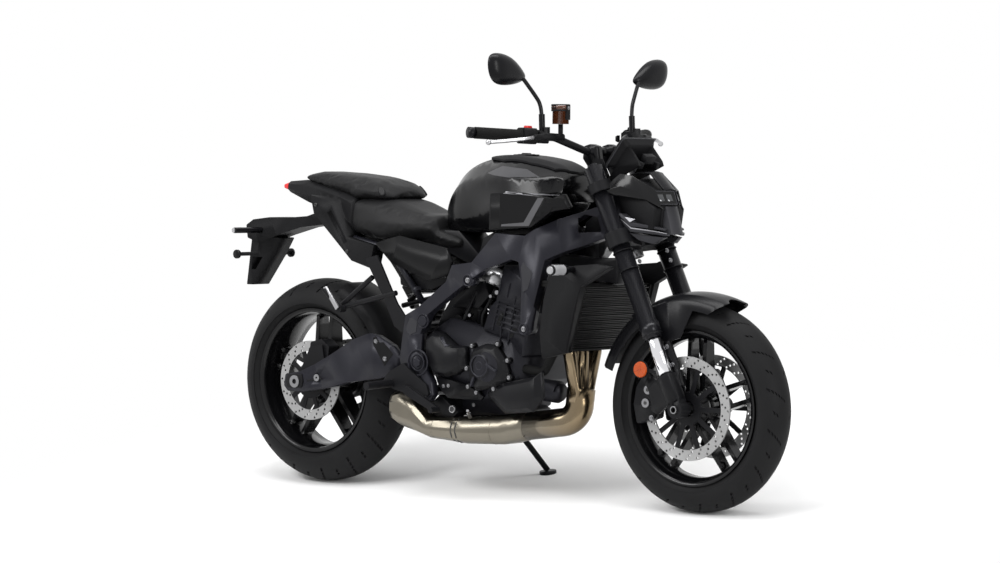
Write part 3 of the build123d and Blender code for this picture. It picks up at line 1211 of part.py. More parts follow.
with BuildPart() as side_covers:
    panel = [(66, 796), (70, 904), (180, 908), (300, 892), (340, 906), (366, 866), (296, 854), (222, 808)]
    for side in (1, -1):
        near, far = sorted((side * COWL_NEAR_Y, side * COWL_FAR_Y))
        slab(panel, near, far, 4)
    cover = [(-396, 748), (-300, 772), (-112, 738), (-92, 700), (-104, 656), (-180, 640), (-330, 690)]
    for side in (1, -1):
        near, far = sorted((side * 141, side * 149))
        slab(cover, near, far, 5)
        for x in (-150, -300):
            rail = on_rail(1, x)
            near, far = sorted((side * (rail.Y + RAIL_R + SEAT), side * 145))
            cross_rod(x, rail.Z, 6, near, far)
finish(side_covers, "side_covers")

with BuildPart() as plate_holder:
    arm = [(-640, 826), (-722, 836), (-770, 822), (-850, 816), (-930, 816), (-1000, 808), (-1030, 790)]
    arm += [(-1024, 750), (-980, 735), (-900, 760), (-800, 786), (-690, 800)]
    slab(arm, -44, 44, 5)
    slab([(-645, 828.8), (-695, 847.8), (-705, 815), (-650, 812)], -34, 34)
    bracket = [(-1012, 752), (-1034, 602), (-1006, 602), (-930, 700), (-896, 752)]
    slab(bracket, -36, 36, 3)
    slab([(-1010, 690), (-1014, 650), (-996, 650), (-966, 690)], -40, 40, mode=Mode.SUBTRACT)
    rod((-993, -120, 700), (-993, 120, 700), 6)
finish(plate_holder, "plate_holder")

with BuildPart() as turn_signals:
    for side in (1, -1):
        rod((-966, side * (45 + SEAT), 775), (-980, side * 150, 775), 9)
        rod((-993, side * 120.3, 700), (-993, side * 128, 700), 14)
        rod((398, side * (190 + SEAT), 690), (398, side * 226, 690), 9)
        rod((398, side * 226, 690), (398, side * 296, 690), 15)
finish(turn_signals, "turn_signals")

with BuildPart() as rider_footrests:
    hanger = [(-345, 330), (-320, 362), (-262, 392), (-236, 372), (-170, 330), (-160, 300), (-200, 292)]
    hanger += [(-300, 312)]
    for side in (1, -1):
        near, far = sorted((side * (PIVOT_PLATE_OUTER_Y + 3 + SEAT), side * (PIVOT_PLATE_OUTER_Y + 13)))
        slab(hanger, near, far, 6)
        rod((-306, side * 165, 330), (-312, side * 280, 325), 12)
        pedal_near, pedal_far = sorted((side * 170, side * 182))
        pedal = [(-262, 312), (-250, 326), (-232, 322), (-120, 268), (-112, 252), (-130, 250), (-240, 296)]
        slab(pedal, pedal_near, pedal_far, 4)
        rod((-120, side * 175, 260), (-120, side * 212, 260), 9)
finish(rider_footrests, "rider_footrests")

with BuildPart() as passenger_footrests:
    bracket = [(-426, 700), (-380, 712), (-300, 570), (-266.2, 530), (-274.6, 480), (-308, 500), (-350, 580)]
    for side in (1, -1):
        near, far = sorted((side * 150, side * 158))
        slab(bracket, near, far, 5)
        rod((-305, side * 154, 600), (-545, side * 154, 545), 8)
        rod((-400, side * 154, 645), (-520, side * 154, 560), 8)
        rod((-512, side * 158, 545), (-512, side * 182, 545), 10)
        rod((-512, side * 174, 545), (-566, side * 186, 604), 9)
finish(passenger_footrests, "passenger_footrests")

with BuildPart() as shock_absorber:
    top, low = (-262, 0, 598), (-338, 0, 427)
    rod(low, top, 14)
    span = Vector(*top) - Vector(*low)
    for turn in range(7):
        start = Vector(*low) + span * (0.24 + turn * 0.09)
        rod(tuple(start), tuple(start + span * 0.055), 30)
finish(shock_absorber, "shock_absorber")

with BuildPart() as rear_hugger:
    with BuildSketch(wheel_section(REAR_AXLE, 76)) as shell:
        with BuildLine():
            Polyline(
                (-HUGGER_HALF, HUGGER_R - 40),
                (-HUGGER_HALF, HUGGER_R - 18),
                (-HUGGER_HALF + 30, HUGGER_R + 3),
                (HUGGER_HALF - 30, HUGGER_R + 3),
                (HUGGER_HALF, HUGGER_R - 18),
                (HUGGER_HALF, HUGGER_R - 40),
                (HUGGER_HALF - 3, HUGGER_R - 40),
                (HUGGER_HALF - 3, HUGGER_R - 19),
                (HUGGER_HALF - 31, HUGGER_R),
                (31 - HUGGER_HALF, HUGGER_R),
                (3 - HUGGER_HALF, HUGGER_R - 19),
                (3 - HUGGER_HALF, HUGGER_R - 40),
                close=True,
            )
        make_face()
    revolve(shell.sketch, axis=Axis(REAR_AXLE, (0, -1, 0)), revolution_arc=54)
    foot_low, foot_high = REAR_R + 65, REAR_R + 89
    foot_front = CROSS_REAR_X - SEAT
    shell_front = REAR_AXLE[0] + HUGGER_R
    foot = [(shell_front - 6, foot_low), (foot_front, foot_low), (foot_front, foot_high)]
    slab(foot + [(shell_front - 10, foot_high)], -30, 30)
finish(rear_hugger, "rear_hugger")

with BuildPart() as rear_caliper:
    body = [(15, 81), (21, 121), (65, 131), (97, 109), (93, 71), (55, 61)]
    slab(off_rear_axle(body), -108, -60, 8)
    slot_low, slot_high = REAR_DISC_Y - DISC_THICK / 2 - FREE, REAR_DISC_Y + DISC_THICK / 2 + FREE
    cross_rod(REAR_AXLE[0], REAR_R, REAR_DISC_R + FREE, slot_low, slot_high, Mode.SUBTRACT)
    stay = [(-20, -15), (0, -25), (35, 15), (85, 65), (75, 115), (25, 105), (-23, 15)]
    slab(off_rear_axle(stay), -116, -108, 5)
    cross_rod(REAR_AXLE[0], REAR_R, SPACER_R + SEAT, -120, -100, Mode.SUBTRACT)
finish(rear_caliper, "rear_caliper")

# ---------------------------------------------------------------- side stand
ground_up = Vector(0, -sin(radians(LEAN)), cos(radians(LEAN)))


with BuildPart() as side_stand:
    foot = Vector(STAND_FOOT[0], STAND_FOOT[1], ground_z(STAND_FOOT[1]))
    rod(tuple(pivot + STAND_AXIS * SEAT), tuple(pivot + STAND_AXIS * STAND_HEAD_THICK), STAND_HEAD_R)
    leg_start = pivot + STAND_AXIS * (STAND_LEG_R + 0.5) + (foot - pivot).normalized() * STAND_HEAD_R * 0.8
    leg_end = foot + ground_up * 10
    rod(tuple(leg_start), tuple(leg_end), STAND_LEG_R)
    with Locations(Plane(origin=foot, z_dir=ground_up, x_dir=(1, 0, 0)).location):
        Cylinder(26, 8, align=(Align.CENTER, Align.CENTER, Align.MIN))
    rod(tuple(pivot - STAND_AXIS), tuple(pivot + STAND_AXIS * 40), STAND_BOLT_R + RUNNING, Mode.SUBTRACT)
finish(side_stand, "side_stand")
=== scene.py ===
"""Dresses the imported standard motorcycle: finishes for its solids, and the small forms that they leave out.

Pieces are modelled upright, in the motorcycle's own frame and in millimetres: +X forward, +Y left, +Z up,
with the origin on the ground half way between the axles. STANCE then leans each one onto the side stand.
"""

import json
import logging
import math
from dataclasses import dataclass
from enum import Enum
from typing import Iterable, Sequence

import bmesh
import bpy
from mathutils import Matrix, Vector
from mathutils.bvhtree import BVHTree


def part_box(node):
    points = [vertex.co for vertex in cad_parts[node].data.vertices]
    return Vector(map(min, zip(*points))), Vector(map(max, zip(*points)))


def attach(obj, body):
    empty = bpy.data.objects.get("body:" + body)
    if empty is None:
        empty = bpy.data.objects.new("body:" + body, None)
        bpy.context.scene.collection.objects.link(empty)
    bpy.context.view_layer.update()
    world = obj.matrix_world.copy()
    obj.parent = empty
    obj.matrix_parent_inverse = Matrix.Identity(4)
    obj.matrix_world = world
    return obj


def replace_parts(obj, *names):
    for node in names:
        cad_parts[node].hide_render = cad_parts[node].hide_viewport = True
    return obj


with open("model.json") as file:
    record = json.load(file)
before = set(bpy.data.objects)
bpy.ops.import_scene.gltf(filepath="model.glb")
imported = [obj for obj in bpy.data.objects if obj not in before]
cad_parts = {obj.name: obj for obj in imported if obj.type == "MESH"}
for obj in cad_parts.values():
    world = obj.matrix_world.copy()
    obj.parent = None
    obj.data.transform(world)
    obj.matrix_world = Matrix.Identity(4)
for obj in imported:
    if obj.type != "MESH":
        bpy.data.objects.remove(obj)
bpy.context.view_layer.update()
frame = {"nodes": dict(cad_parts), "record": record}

log = logging.getLogger("motorcycle")

Point = Sequence[float]
MM = 0.001
LEG_FOOT_X = 852.8
LEG_EASE = 0.4593


@dataclass(frozen=True)
class Stance:
    """How the upright motorcycle stands when parked."""

    lean: float = 10.0
    middle_x: float = -9.0
    middle_y: float = 200.0
    tyre_lift: float = 94.0 * (1 - math.cos(math.radians(10.0)))

    def matrix(self) -> Matrix:
        """Return the transform from upright millimetres to parked metres."""
        move = Matrix.Translation((-self.middle_x, -self.middle_y, self.tyre_lift))
        return Matrix.Scale(MM, 4) @ move @ Matrix.Rotation(math.radians(-self.lean), 4, "X")

    def place(self, point: Point) -> Vector:
        """Return where an upright point in millimetres stands, in metres."""
        return self.matrix() @ Vector(point)

    def turned(self, direction: Point) -> Vector:
        """Return an upright direction as it points when parked."""
        return (Matrix.Rotation(math.radians(-self.lean), 3, "X") @ Vector(direction)).normalized()


STANCE = Stance()
FRONT_AXLE = (715.0, 0.0, 300.0)
REAR_AXLE = (-715.0, 0.0, 315.0)
RAKE = math.radians(24.67)
STEER_UP = Vector((-math.sin(RAKE), 0, math.cos(RAKE)))
STEER_FORWARD = Vector((math.cos(RAKE), 0, math.sin(RAKE)))


class Side(Enum):
    """A side of the motorcycle, as the sign of its y."""

    LEFT = 1
    RIGHT = -1


class Pattern(Enum):
    """What a finish carries on top of its plain colour."""

    PLAIN = "plain"
    CAST = "cast"
    BRUSHED = "brushed"
    LEATHER = "leather"
    RUBBER = "rubber"
    HEAT = "heat"
    FINS = "fins"


# ---------------------------------------------------------------- finishes
@dataclass(frozen=True)
class Finish:
    """A surface finish and the numbers that make its material."""

    name: str
    colour: tuple[float, float, float]
    roughness: float
    metallic: float = 0.0
    specular: float = 0.4
    coat: float = 0.0
    variation: float = 0.25
    grain_scale: float = 900.0
    grain_depth: float = 0.15
    edge_mm: float = 1.0
    pattern: Pattern = Pattern.PLAIN
    second: tuple[float, float, float] = (0.0, 0.0, 0.0)
    transmission: float = 0.0
    glow: float = 0.0

    def material(self) -> bpy.types.Material:
        """Return this finish's material, made once and then shared.

        Returns:
            The node material.
        """
        label = "dressed_" + self.name
        made = bpy.data.materials.get(label)
        if made is not None:
            return made
        made = bpy.data.materials.new(label)
        made.use_nodes = True
        sheet = Sheet(made.node_tree)
        shader = made.node_tree.nodes["Principled BSDF"]
        shader.inputs["Metallic"].default_value = self.metallic
        shader.inputs["Specular IOR Level"].default_value = self.specular
        shader.inputs["Coat Weight"].default_value = self.coat
        shader.inputs["Coat Roughness"].default_value = 0.06
        shader.inputs["Transmission Weight"].default_value = self.transmission
        shader.inputs["Emission Color"].default_value = (*self.colour, 1)
        shader.inputs["Emission Strength"].default_value = self.glow
        place = sheet.object_place(math.radians(STANCE.lean))
        colour = sheet.two_tones(place, self.colour, self.variation, 14.0)
        height = sheet.noise(place, self.grain_scale, 3.0)
        if self.pattern is Pattern.HEAT:
            colour = sheet.heat_bands(place, colour, self.second)
        if self.pattern is Pattern.BRUSHED:
            height = sheet.streaks(place, self.grain_scale)
        if self.pattern is Pattern.LEATHER:
            height = sheet.cells(place, self.grain_scale)
        if self.pattern is Pattern.FINS:
            height = sheet.fin_rows(place)
            colour = sheet.blend(height, self.second, self.colour)
        sheet.link(colour, shader.inputs["Base Color"])
        sheet.link(sheet.spread(height, self.roughness), shader.inputs["Roughness"])
        sheet.link(sheet.bumped(height, self.grain_depth, self.edge_mm), shader.inputs["Normal"])
        return made


class Sheet:
    """Short ways to lay out a material's nodes."""

    def __init__(self, tree: bpy.types.NodeTree) -> None:
        """Start on a material's node tree."""
        self.tree = tree

    def node(self, kind: str, **settings: object) -> bpy.types.Node:
        """Add a node.

        Args:
            kind: the node's type name.
            settings: attributes to set on it.

        Returns:
            The new node.
        """
        made = self.tree.nodes.new(kind)
        for key, value in settings.items():
            setattr(made, key, value)
        return made

    def link(self, output: bpy.types.NodeSocket, target: bpy.types.NodeSocket) -> None:
        """Join two sockets."""
        self.tree.links.new(output, target)

    def object_place(self, lean: float) -> bpy.types.NodeSocket:
        """Return object coordinates turned back upright by the lean."""
        coordinates = self.node("ShaderNodeTexCoord")
        mapping = self.node("ShaderNodeMapping")
        mapping.inputs["Rotation"].default_value = (lean, 0, 0)
        self.link(coordinates.outputs["Object"], mapping.inputs["Vector"])
        return mapping.outputs["Vector"]

    def noise(self, place: bpy.types.NodeSocket, scale: float, detail: float) -> bpy.types.NodeSocket:
        """Return a noise value at a scale per metre."""
        made = self.node("ShaderNodeTexNoise")
        made.inputs["Scale"].default_value = scale
        made.inputs["Detail"].default_value = detail
        self.link(place, made.inputs["Vector"])
        return made.outputs["Fac"]

    def streaks(self, place: bpy.types.NodeSocket, scale: float) -> bpy.types.NodeSocket:
        """Return noise drawn out along X, as brushing leaves it."""
        stretch = self.node("ShaderNodeMapping")
        stretch.inputs["Scale"].default_value = (0.04, 1, 1)
        self.link(place, stretch.inputs["Vector"])
        return self.noise(stretch.outputs["Vector"], scale, 2.0)

    def cells(self, place: bpy.types.NodeSocket, scale: float) -> bpy.types.NodeSocket:
        """Return the rounded cells of a grained skin."""
        made = self.node("ShaderNodeTexVoronoi", feature="SMOOTH_F1")
        made.inputs["Scale"].default_value = scale
        self.link(place, made.inputs["Vector"])
        return made.outputs["Distance"]

    def fin_rows(self, place: bpy.types.NodeSocket) -> bpy.types.NodeSocket:
        """Return the rows of a cooler core, even up the Z axis."""
        rows = self.node("ShaderNodeTexWave", bands_direction="Z", wave_profile="SIN")
        rows.inputs["Scale"].default_value = 36.0
        self.link(place, rows.inputs["Vector"])
        return rows.outputs["Fac"]

    def blend(
        self, factor: bpy.types.NodeSocket, low: tuple[float, float, float], high: tuple[float, float, float]
    ) -> bpy.types.NodeSocket:
        """Return a colour between two, by a factor.

        Args:
            factor: socket that gives 0 to 1.
            low: colour at 0.
            high: colour at 1.

        Returns:
            The colour socket.
        """
        mix = self.node("ShaderNodeMix", data_type="RGBA")
        mix.inputs[6].default_value = (*low, 1)
        mix.inputs[7].default_value = (*high, 1)
        self.link(factor, mix.inputs[0])
        return mix.outputs[2]

    def two_tones(
        self, place: bpy.types.NodeSocket, colour: tuple[float, float, float], variation: float, scale: float
    ) -> bpy.types.NodeSocket:
        """Return a colour that drifts a little darker and lighter over the surface.

        Args:
            place: the coordinates.
            colour: the middle colour.
            variation: how far it drifts, as a share.
            scale: patches per metre.

        Returns:
            The colour socket.
        """
        low = tuple(channel * (1 - variation) for channel in colour)
        high = tuple(min(1.0, channel * (1 + variation)) for channel in colour)
        return self.blend(self.noise(place, scale, 4.0), low, high)

    def heat_bands(
        self, place: bpy.types.NodeSocket, colour: bpy.types.NodeSocket, tint: tuple[float, float, float]
    ) -> bpy.types.NodeSocket:
        """Return a steel colour that turns golden towards the front, where it runs hot.

        Args:
            place: the coordinates.
            colour: the cool steel's colour.
            tint: the hot steel's colour.

        Returns:
            The colour socket.
        """
        split = self.node("ShaderNodeSeparateXYZ")
        self.link(place, split.inputs[0])
        ramp = self.node("ShaderNodeMapRange")
        ramp.inputs["From Min"].default_value = 0.16
        ramp.inputs["From Max"].default_value = 0.42
        self.link(split.outputs["X"], ramp.inputs["Value"])
        mix = self.node("ShaderNodeMix", data_type="RGBA")
        self.link(ramp.outputs["Result"], mix.inputs[0])
        self.link(colour, mix.inputs[6])
        mix.inputs[7].default_value = (*tint, 1)
        return mix.outputs[2]

    def spread(self, height: bpy.types.NodeSocket, middle: float) -> bpy.types.NodeSocket:
        """Return a roughness a little either side of its middle."""
        ramp = self.node("ShaderNodeMapRange")
        ramp.inputs["To Min"].default_value = max(0.02, middle * 0.85)
        ramp.inputs["To Max"].default_value = min(1.0, middle * 1.15)
        self.link(height, ramp.inputs["Value"])
        return ramp.outputs["Result"]

    def bumped(self, height: bpy.types.NodeSocket, depth: float, edge_mm: float) -> bpy.types.NodeSocket:
        """Return a normal with the grain's relief over softly rounded edges.

        Args:
            height: the grain.
            depth: the relief's strength.
            edge_mm: radius of the rounded edges.

        Returns:
            The normal socket.
        """
        bump = self.node("ShaderNodeBump")
        bump.inputs["Strength"].default_value = depth
        bump.inputs["Distance"].default_value = 0.0006
        self.link(height, bump.inputs["Height"])
        if edge_mm > 0:
            edges = self.node("ShaderNodeBevel", samples=4)
            edges.inputs["Radius"].default_value = edge_mm * MM
            self.link(edges.outputs["Normal"], bump.inputs["Normal"])
        return bump.outputs["Normal"]


GLOSS_BLACK = Finish(
    "gloss_black", (0.0025, 0.0025, 0.003), 0.2, specular=0.2, coat=0.1, grain_depth=0.0, edge_mm=0
)
PANEL_BLACK = Finish("panel_black", (0.0045, 0.0045, 0.005), 0.3, specular=0.12, grain_depth=0.03)
STRIPE_GREY = Finish("stripe_grey", (0.040, 0.040, 0.043), 0.38, specular=0.2, grain_depth=0.03)
STRIPE_SILVER = Finish("stripe_silver", (0.36, 0.36, 0.38), 0.3, metallic=0.7, grain_depth=0.03)
SLASH_GREY = Finish("slash_grey", (0.085, 0.085, 0.09), 0.35, metallic=0.4, specular=0.2, grain_depth=0.03)
TRIM_GREY = Finish("trim_grey", (0.030, 0.030, 0.034), 0.42, metallic=0.2, specular=0.18, grain_depth=0.08)
MATT_PLASTIC = Finish("matt_plastic", (0.0065, 0.0065, 0.0072), 0.52, specular=0.10, pattern=Pattern.CAST)
SMOOTH_PLASTIC = Finish("smooth_plastic", (0.005, 0.005, 0.006), 0.28, specular=0.13, grain_depth=0.05)
FRAME_PAINT = Finish(
    "frame_paint", (0.0145, 0.0145, 0.0195), 0.34, metallic=0.3, specular=0.2, grain_depth=0.08, edge_mm=3
)
ENGINE_PAINT = Finish(
    "engine_paint", (0.012, 0.012, 0.0155), 0.4, metallic=0.25, specular=0.16, grain_depth=0.3, edge_mm=2.5
)
COVER_BLACK = Finish("cover_black", (0.006, 0.006, 0.007), 0.36, specular=0.13, grain_depth=0.2, edge_mm=3)
COVER_GREY = Finish("cover_grey", (0.020, 0.020, 0.026), 0.36, metallic=0.3, specular=0.22, edge_mm=2)
CAST_BLACK = Finish("cast_black", (0.006, 0.006, 0.007), 0.42, specular=0.13, grain_depth=0.25, edge_mm=1.5)
FORK_GREY = Finish("fork_grey", (0.010, 0.010, 0.012), 0.26, metallic=0.4, specular=0.22, grain_depth=0.05)
CHROME = Finish("chrome", (0.72, 0.72, 0.74), 0.08, metallic=1.0, grain_depth=0.0, variation=0.02)
BOLT_STEEL = Finish("bolt_steel", (0.27, 0.27, 0.28), 0.28, metallic=1.0, grain_depth=0.05, edge_mm=0.4)
DARK_STEEL = Finish("dark_steel", (0.07, 0.07, 0.07), 0.4, metallic=1.0, grain_depth=0.1)
ALLOY = Finish("alloy", (0.42, 0.42, 0.43), 0.3, metallic=1.0, pattern=Pattern.BRUSHED, grain_depth=0.1)
DISC_STEEL = Finish(
    "disc_steel", (
        0.36, 0.36, 0.36
    ), 0.38, metallic=0.85, pattern=Pattern.BRUSHED, grain_depth=0.12, edge_mm=0.3
)
WHEEL_BLACK = Finish(
    "wheel_black", (0.003, 0.003, 0.0035), 0.2, specular=0.2, coat=0.08, grain_depth=0.05, edge_mm=2
)
TYRE_RUBBER = Finish(
    "tyre_rubber", (0.0095, 0.0095, 0.010), 0.6, specular=0.10, grain_depth=0.25, pattern=Pattern.RUBBER
)
GRIP_RUBBER = Finish("grip_rubber", (0.006, 0.006, 0.006), 0.7, specular=0.08, grain_depth=0.3)
SEAT_VINYL = Finish(
    "seat_vinyl", (0.011, 0.011, 0.0115), 0.5, specular=0.12, grain_scale=700, grain_depth=0.35, edge_mm=0,
    pattern=Pattern.LEATHER,
)
HEADER_STEEL = Finish(
    "header_steel", (
        0.175, 0.158, 0.128
    ), 0.22, metallic=1.0, pattern=Pattern.HEAT, second=(0.215, 0.150, 0.075),
    grain_depth=0.05, variation=0.18,
)
SILENCER_STEEL = Finish(
    "silencer_steel", (
        0.175, 0.160, 0.130
    ), 0.3, metallic=1.0, grain_scale=500, grain_depth=0.12, variation=0.12
)
RADIATOR_CORE = Finish(
    "radiator_core", (
        0.007, 0.007, 0.007
    ), 0.5, specular=0.1, pattern=Pattern.FINS, second=(0.003, 0.003, 0.003),
    grain_depth=0.8, edge_mm=0,
)
RESERVOIR_BROWN = Finish(
    "reservoir_brown", (0.060, 0.016, 0.005), 0.2, specular=0.4, coat=0.3, grain_depth=0.0
)
AMBER_LENS = Finish("amber_lens", (0.42, 0.062, 0.006), 0.15, specular=0.3, coat=0.3, grain_depth=0.0)
AMBER_DARK = Finish("amber_dark", (0.45, 0.06, 0.004), 0.2, specular=0.4, coat=0.4, grain_depth=0.0)
RED_LENS = Finish("red_lens", (0.50, 0.002, 0.003), 0.2, specular=0.15, coat=0.1, grain_depth=0.0, glow=0.4)
SWITCH_RED = Finish("switch_red", (0.50, 0.012, 0.010), 0.35, specular=0.3)
LAMP_GLASS = Finish(
    "lamp_glass", (0.045, 0.047, 0.05), 0.1, specular=0.5, coat=0.4, grain_depth=0.0, metallic=0.3
)
SIGNAL_LENS = Finish(
    "signal_lens", (0.32, 0.32, 0.33), 0.1, specular=0.4, coat=0.4, grain_scale=300, grain_depth=0.6,
    pattern=Pattern.LEATHER,
)
MIRROR_GLASS = Finish("mirror_glass", (0.70, 0.72, 0.75), 0.02, metallic=1.0, grain_depth=0.0, variation=0.0)
SCREEN_GLASS = Finish("screen_glass", (0.006, 0.006, 0.008), 0.06, specular=0.4, coat=0.5, grain_depth=0.0)

NODE_FINISHES: dict[str, Finish] = {
    "front_tyre": TYRE_RUBBER,
    "rear_tyre": TYRE_RUBBER,
    "front_rim": WHEEL_BLACK,
    "rear_rim": WHEEL_BLACK,
    "front_discs": DISC_STEEL,
    "rear_disc": DISC_STEEL,
    "rear_sprocket": DARK_STEEL,
    "front_axle": BOLT_STEEL,
    "rear_axle": BOLT_STEEL,
    "fork_outer_tubes": FORK_GREY,
    "fork_inner_tubes": CHROME,
    "axle_holders": CAST_BLACK,
    "triple_clamps": CAST_BLACK,
    "stem_nut": BOLT_STEEL,
    "front_fender": SMOOTH_PLASTIC,
    "front_calipers": CAST_BLACK,
    "handlebar": SMOOTH_PLASTIC,
    "grips": GRIP_RUBBER,
    "hand_controls": MATT_PLASTIC,
    "fluid_reservoir": RESERVOIR_BROWN,
    "levers": ALLOY,
    "mirrors": SMOOTH_PLASTIC,
    "mirror_glasses": MIRROR_GLASS,
    "meter": MATT_PLASTIC,
    "headlamp_unit": LAMP_GLASS,
    "headlamp_cowl": GLOSS_BLACK,
    "side_stand": CAST_BLACK,
    "main_frame": FRAME_PAINT,
    "rear_subframe": FRAME_PAINT,
    "swingarm": FRAME_PAINT,
    "stand_bobbins": BOLT_STEEL,
    "drive_chain": DARK_STEEL,
    "coolant_hose": GRIP_RUBBER,
    "crankcase": ENGINE_PAINT,
    "cylinder_block": ENGINE_PAINT,
    "engine_covers": COVER_BLACK,
    "throttle_bodies": ALLOY,
    "radiator": RADIATOR_CORE,
    "radiator_shrouds": MATT_PLASTIC,
    "exhaust_pipes": HEADER_STEEL,
    "silencer": SILENCER_STEEL,
    "fuel_tank": GLOSS_BLACK,
    "tank_top_cover": MATT_PLASTIC,
    "side_covers": PANEL_BLACK,
    "rider_seat": SEAT_VINYL,
    "pillion_seat": SEAT_VINYL,
    "tail_cowl": MATT_PLASTIC,
    "tail_lamp": RED_LENS,
    "plate_holder": MATT_PLASTIC,
    "turn_signals": SMOOTH_PLASTIC,
    "rider_footrests": CAST_BLACK,
    "passenger_footrests": CAST_BLACK,
    "shock_absorber": DARK_STEEL,
    "rear_hugger": MATT_PLASTIC,
    "rear_caliper": CAST_BLACK,
}


SMOOTHED_NODES = (
    "front_rim", "rear_rim", "fork_outer_tubes", "fork_inner_tubes", "axle_holders", "triple_clamps",
    "front_fender", "front_calipers", "handlebar", "grips", "hand_controls", "fluid_reservoir", "meter",
    "main_frame", "rear_subframe", "swingarm", "crankcase", "cylinder_block", "engine_covers",
    "throttle_bodies", "radiator_shrouds", "coolant_hose", "exhaust_pipes", "silencer", "fuel_tank",
    "side_covers", "tail_cowl", "tail_lamp", "plate_holder", "turn_signals", "rear_hugger",
    "side_stand",
)


# ---------------------------------------------------------------- bench: shared ways to make a piece
class Bench:
    """A mesh on the bench, modelled upright in millimetres, and how it becomes a piece."""

    def __init__(self) -> None:
        """Start with an empty mesh."""
        self.mesh = bmesh.new()

    @classmethod
    def from_node(cls, node: str) -> "Bench":
        """Start from a merged copy of a CAD node, back upright and in millimetres.

        Args:
            node: the node's name.

        Returns:
            The bench with the copy on it.
        """
        made = cls()
        made.mesh.from_mesh(frame["nodes"][node].data)
        bmesh.ops.remove_doubles(made.mesh, verts=made.mesh.verts, dist=1e-5)
        bmesh.ops.transform(made.mesh, matrix=STANCE.matrix().inverted(), verts=made.mesh.verts)
        return made

    def rod(self, start: Point, end: Point, radius: float, end_radius: float = -1.0, sides: int = 24) -> None:
        """Add a round bar.

        Args:
            start: middle of its first end.
            end: middle of its other end.
            radius: radius at the start.
            end_radius: radius at the end, if it tapers.
            sides: number of flats round it.
        """
        run = Vector(end) - Vector(start)
        turn = run.to_track_quat("Z", "Y").to_matrix().to_4x4()
        place = Matrix.Translation((Vector(start) + Vector(end)) / 2) @ turn
        last = radius if end_radius < 0 else end_radius
        bmesh.ops.create_cone(
            self.mesh, cap_ends=True, segments=sides, radius1=radius, radius2=last,
            depth=run.length, matrix=place,
        )

    def slab(self, outline: Sequence[Point], y_near: float, y_far: float) -> None:
        """Add a plate from a side outline of (x, z) points between two distances to the left.

        Args:
            outline: the outline's points in order.
            y_near: one face.
            y_far: the other face.
        """
        corners = [self.mesh.verts.new((x, y_near, z)) for x, z in outline]
        face = self.mesh.faces.new(corners)
        pulled = bmesh.ops.extrude_face_region(self.mesh, geom=[face])
        moved = [item for item in pulled["geom"] if isinstance(item, bmesh.types.BMVert)]
        bmesh.ops.translate(self.mesh, vec=(0, y_far - y_near, 0), verts=moved)

    def ring(
        self, middle: Point, axis: Point, radius: float, thick: float, sides: int = 48, around: int = 10
    ) -> None:
        """Add a round ring, such as a seal, a weld or a wire loop.

        Args:
            middle: its centre.
            axis: the way its hole runs.
            radius: from its centre to the middle of its bar.
            thick: radius of its bar.
            sides: steps round the ring.
            around: flats round the bar.
        """
        turn = Vector(axis).to_track_quat("Z", "Y").to_matrix().to_4x4()
        start = Matrix.Translation(middle) @ turn
        bar = bmesh.ops.create_circle(self.mesh, segments=around, radius=thick)
        upright = Matrix.Translation((radius, 0, 0)) @ Matrix.Rotation(math.pi / 2, 4, "X")
        bmesh.ops.transform(self.mesh, matrix=start @ upright, verts=bar["verts"])
        edges = list({edge for vert in bar["verts"] for edge in vert.link_edges})
        bmesh.ops.spin(
            self.mesh,
            geom=bar["verts"] + edges,
            cent=middle,
            axis=turn.to_3x3() @ Vector((0, 0, 1)),
            angle=math.tau,
            steps=sides,
            use_merge=True,
        )

    def bolt(
        self, place: Point, out: Point, radius: float = 7.0, height: float = 5.0
    ) -> None:
        """Add a bolt's head with a hexagon socket.

        Args:
            place: where its head sits.
            out: the way it points out.
            radius: the head's radius.
            height: the head's height.
        """
        axis = Vector(out).normalized()
        self.rod(Vector(place) - axis, Vector(place) + axis * 1.2, radius * 1.35, sides=20)
        turn = Matrix.Translation(
            Vector(place) + axis * height / 2
        ) @ axis.to_track_quat("Z", "Y").to_matrix().to_4x4()
        head = bmesh.ops.create_cone(
            self.mesh, cap_ends=True, segments=18, radius1=radius, radius2=radius * 0.92,
            depth=height, matrix=turn,
        )
        faces = {face for vert in head["verts"] for face in vert.link_faces}
        top = max(faces, key=lambda face: face.calc_center_median().dot(axis))
        bmesh.ops.inset_individual(self.mesh, faces=[top], thickness=radius * 0.42, depth=0)
        bmesh.ops.inset_individual(self.mesh, faces=[top], thickness=radius * 0.02, depth=-height * 0.5)

    def absorb(self, other: bmesh.types.BMesh) -> None:
        """Add another mesh's faces, and free it."""
        carried = bpy.data.meshes.new("carried")
        other.to_mesh(carried)
        other.free()
        self.mesh.from_mesh(carried)
        bpy.data.meshes.remove(carried)

    def tube(self, route: Sequence[Point], radius: float) -> None:
        """Add a bent tube along a smooth line.

        Args:
            route: points that steer the line.
            radius: the tube's radius.
        """
        curve = bpy.data.curves.new("tube", "CURVE")
        curve.dimensions = "3D"
        curve.bevel_depth = radius
        curve.bevel_resolution = 3
        curve.use_fill_caps = True
        spline = curve.splines.new("NURBS")
        spline.points.add(len(route) - 1)
        for knot, point in zip(spline.points, route):
            knot.co = (*point, 1)
        spline.order_u = 3
        spline.use_endpoint_u = True
        spline.resolution_u = 6
        holder = bpy.data.objects.new("tube", curve)
        bpy.context.scene.collection.objects.link(holder)
        swept = bpy.data.meshes.new_from_object(holder)
        bpy.data.objects.remove(holder)
        self.mesh.from_mesh(swept)
        bpy.data.meshes.remove(swept)

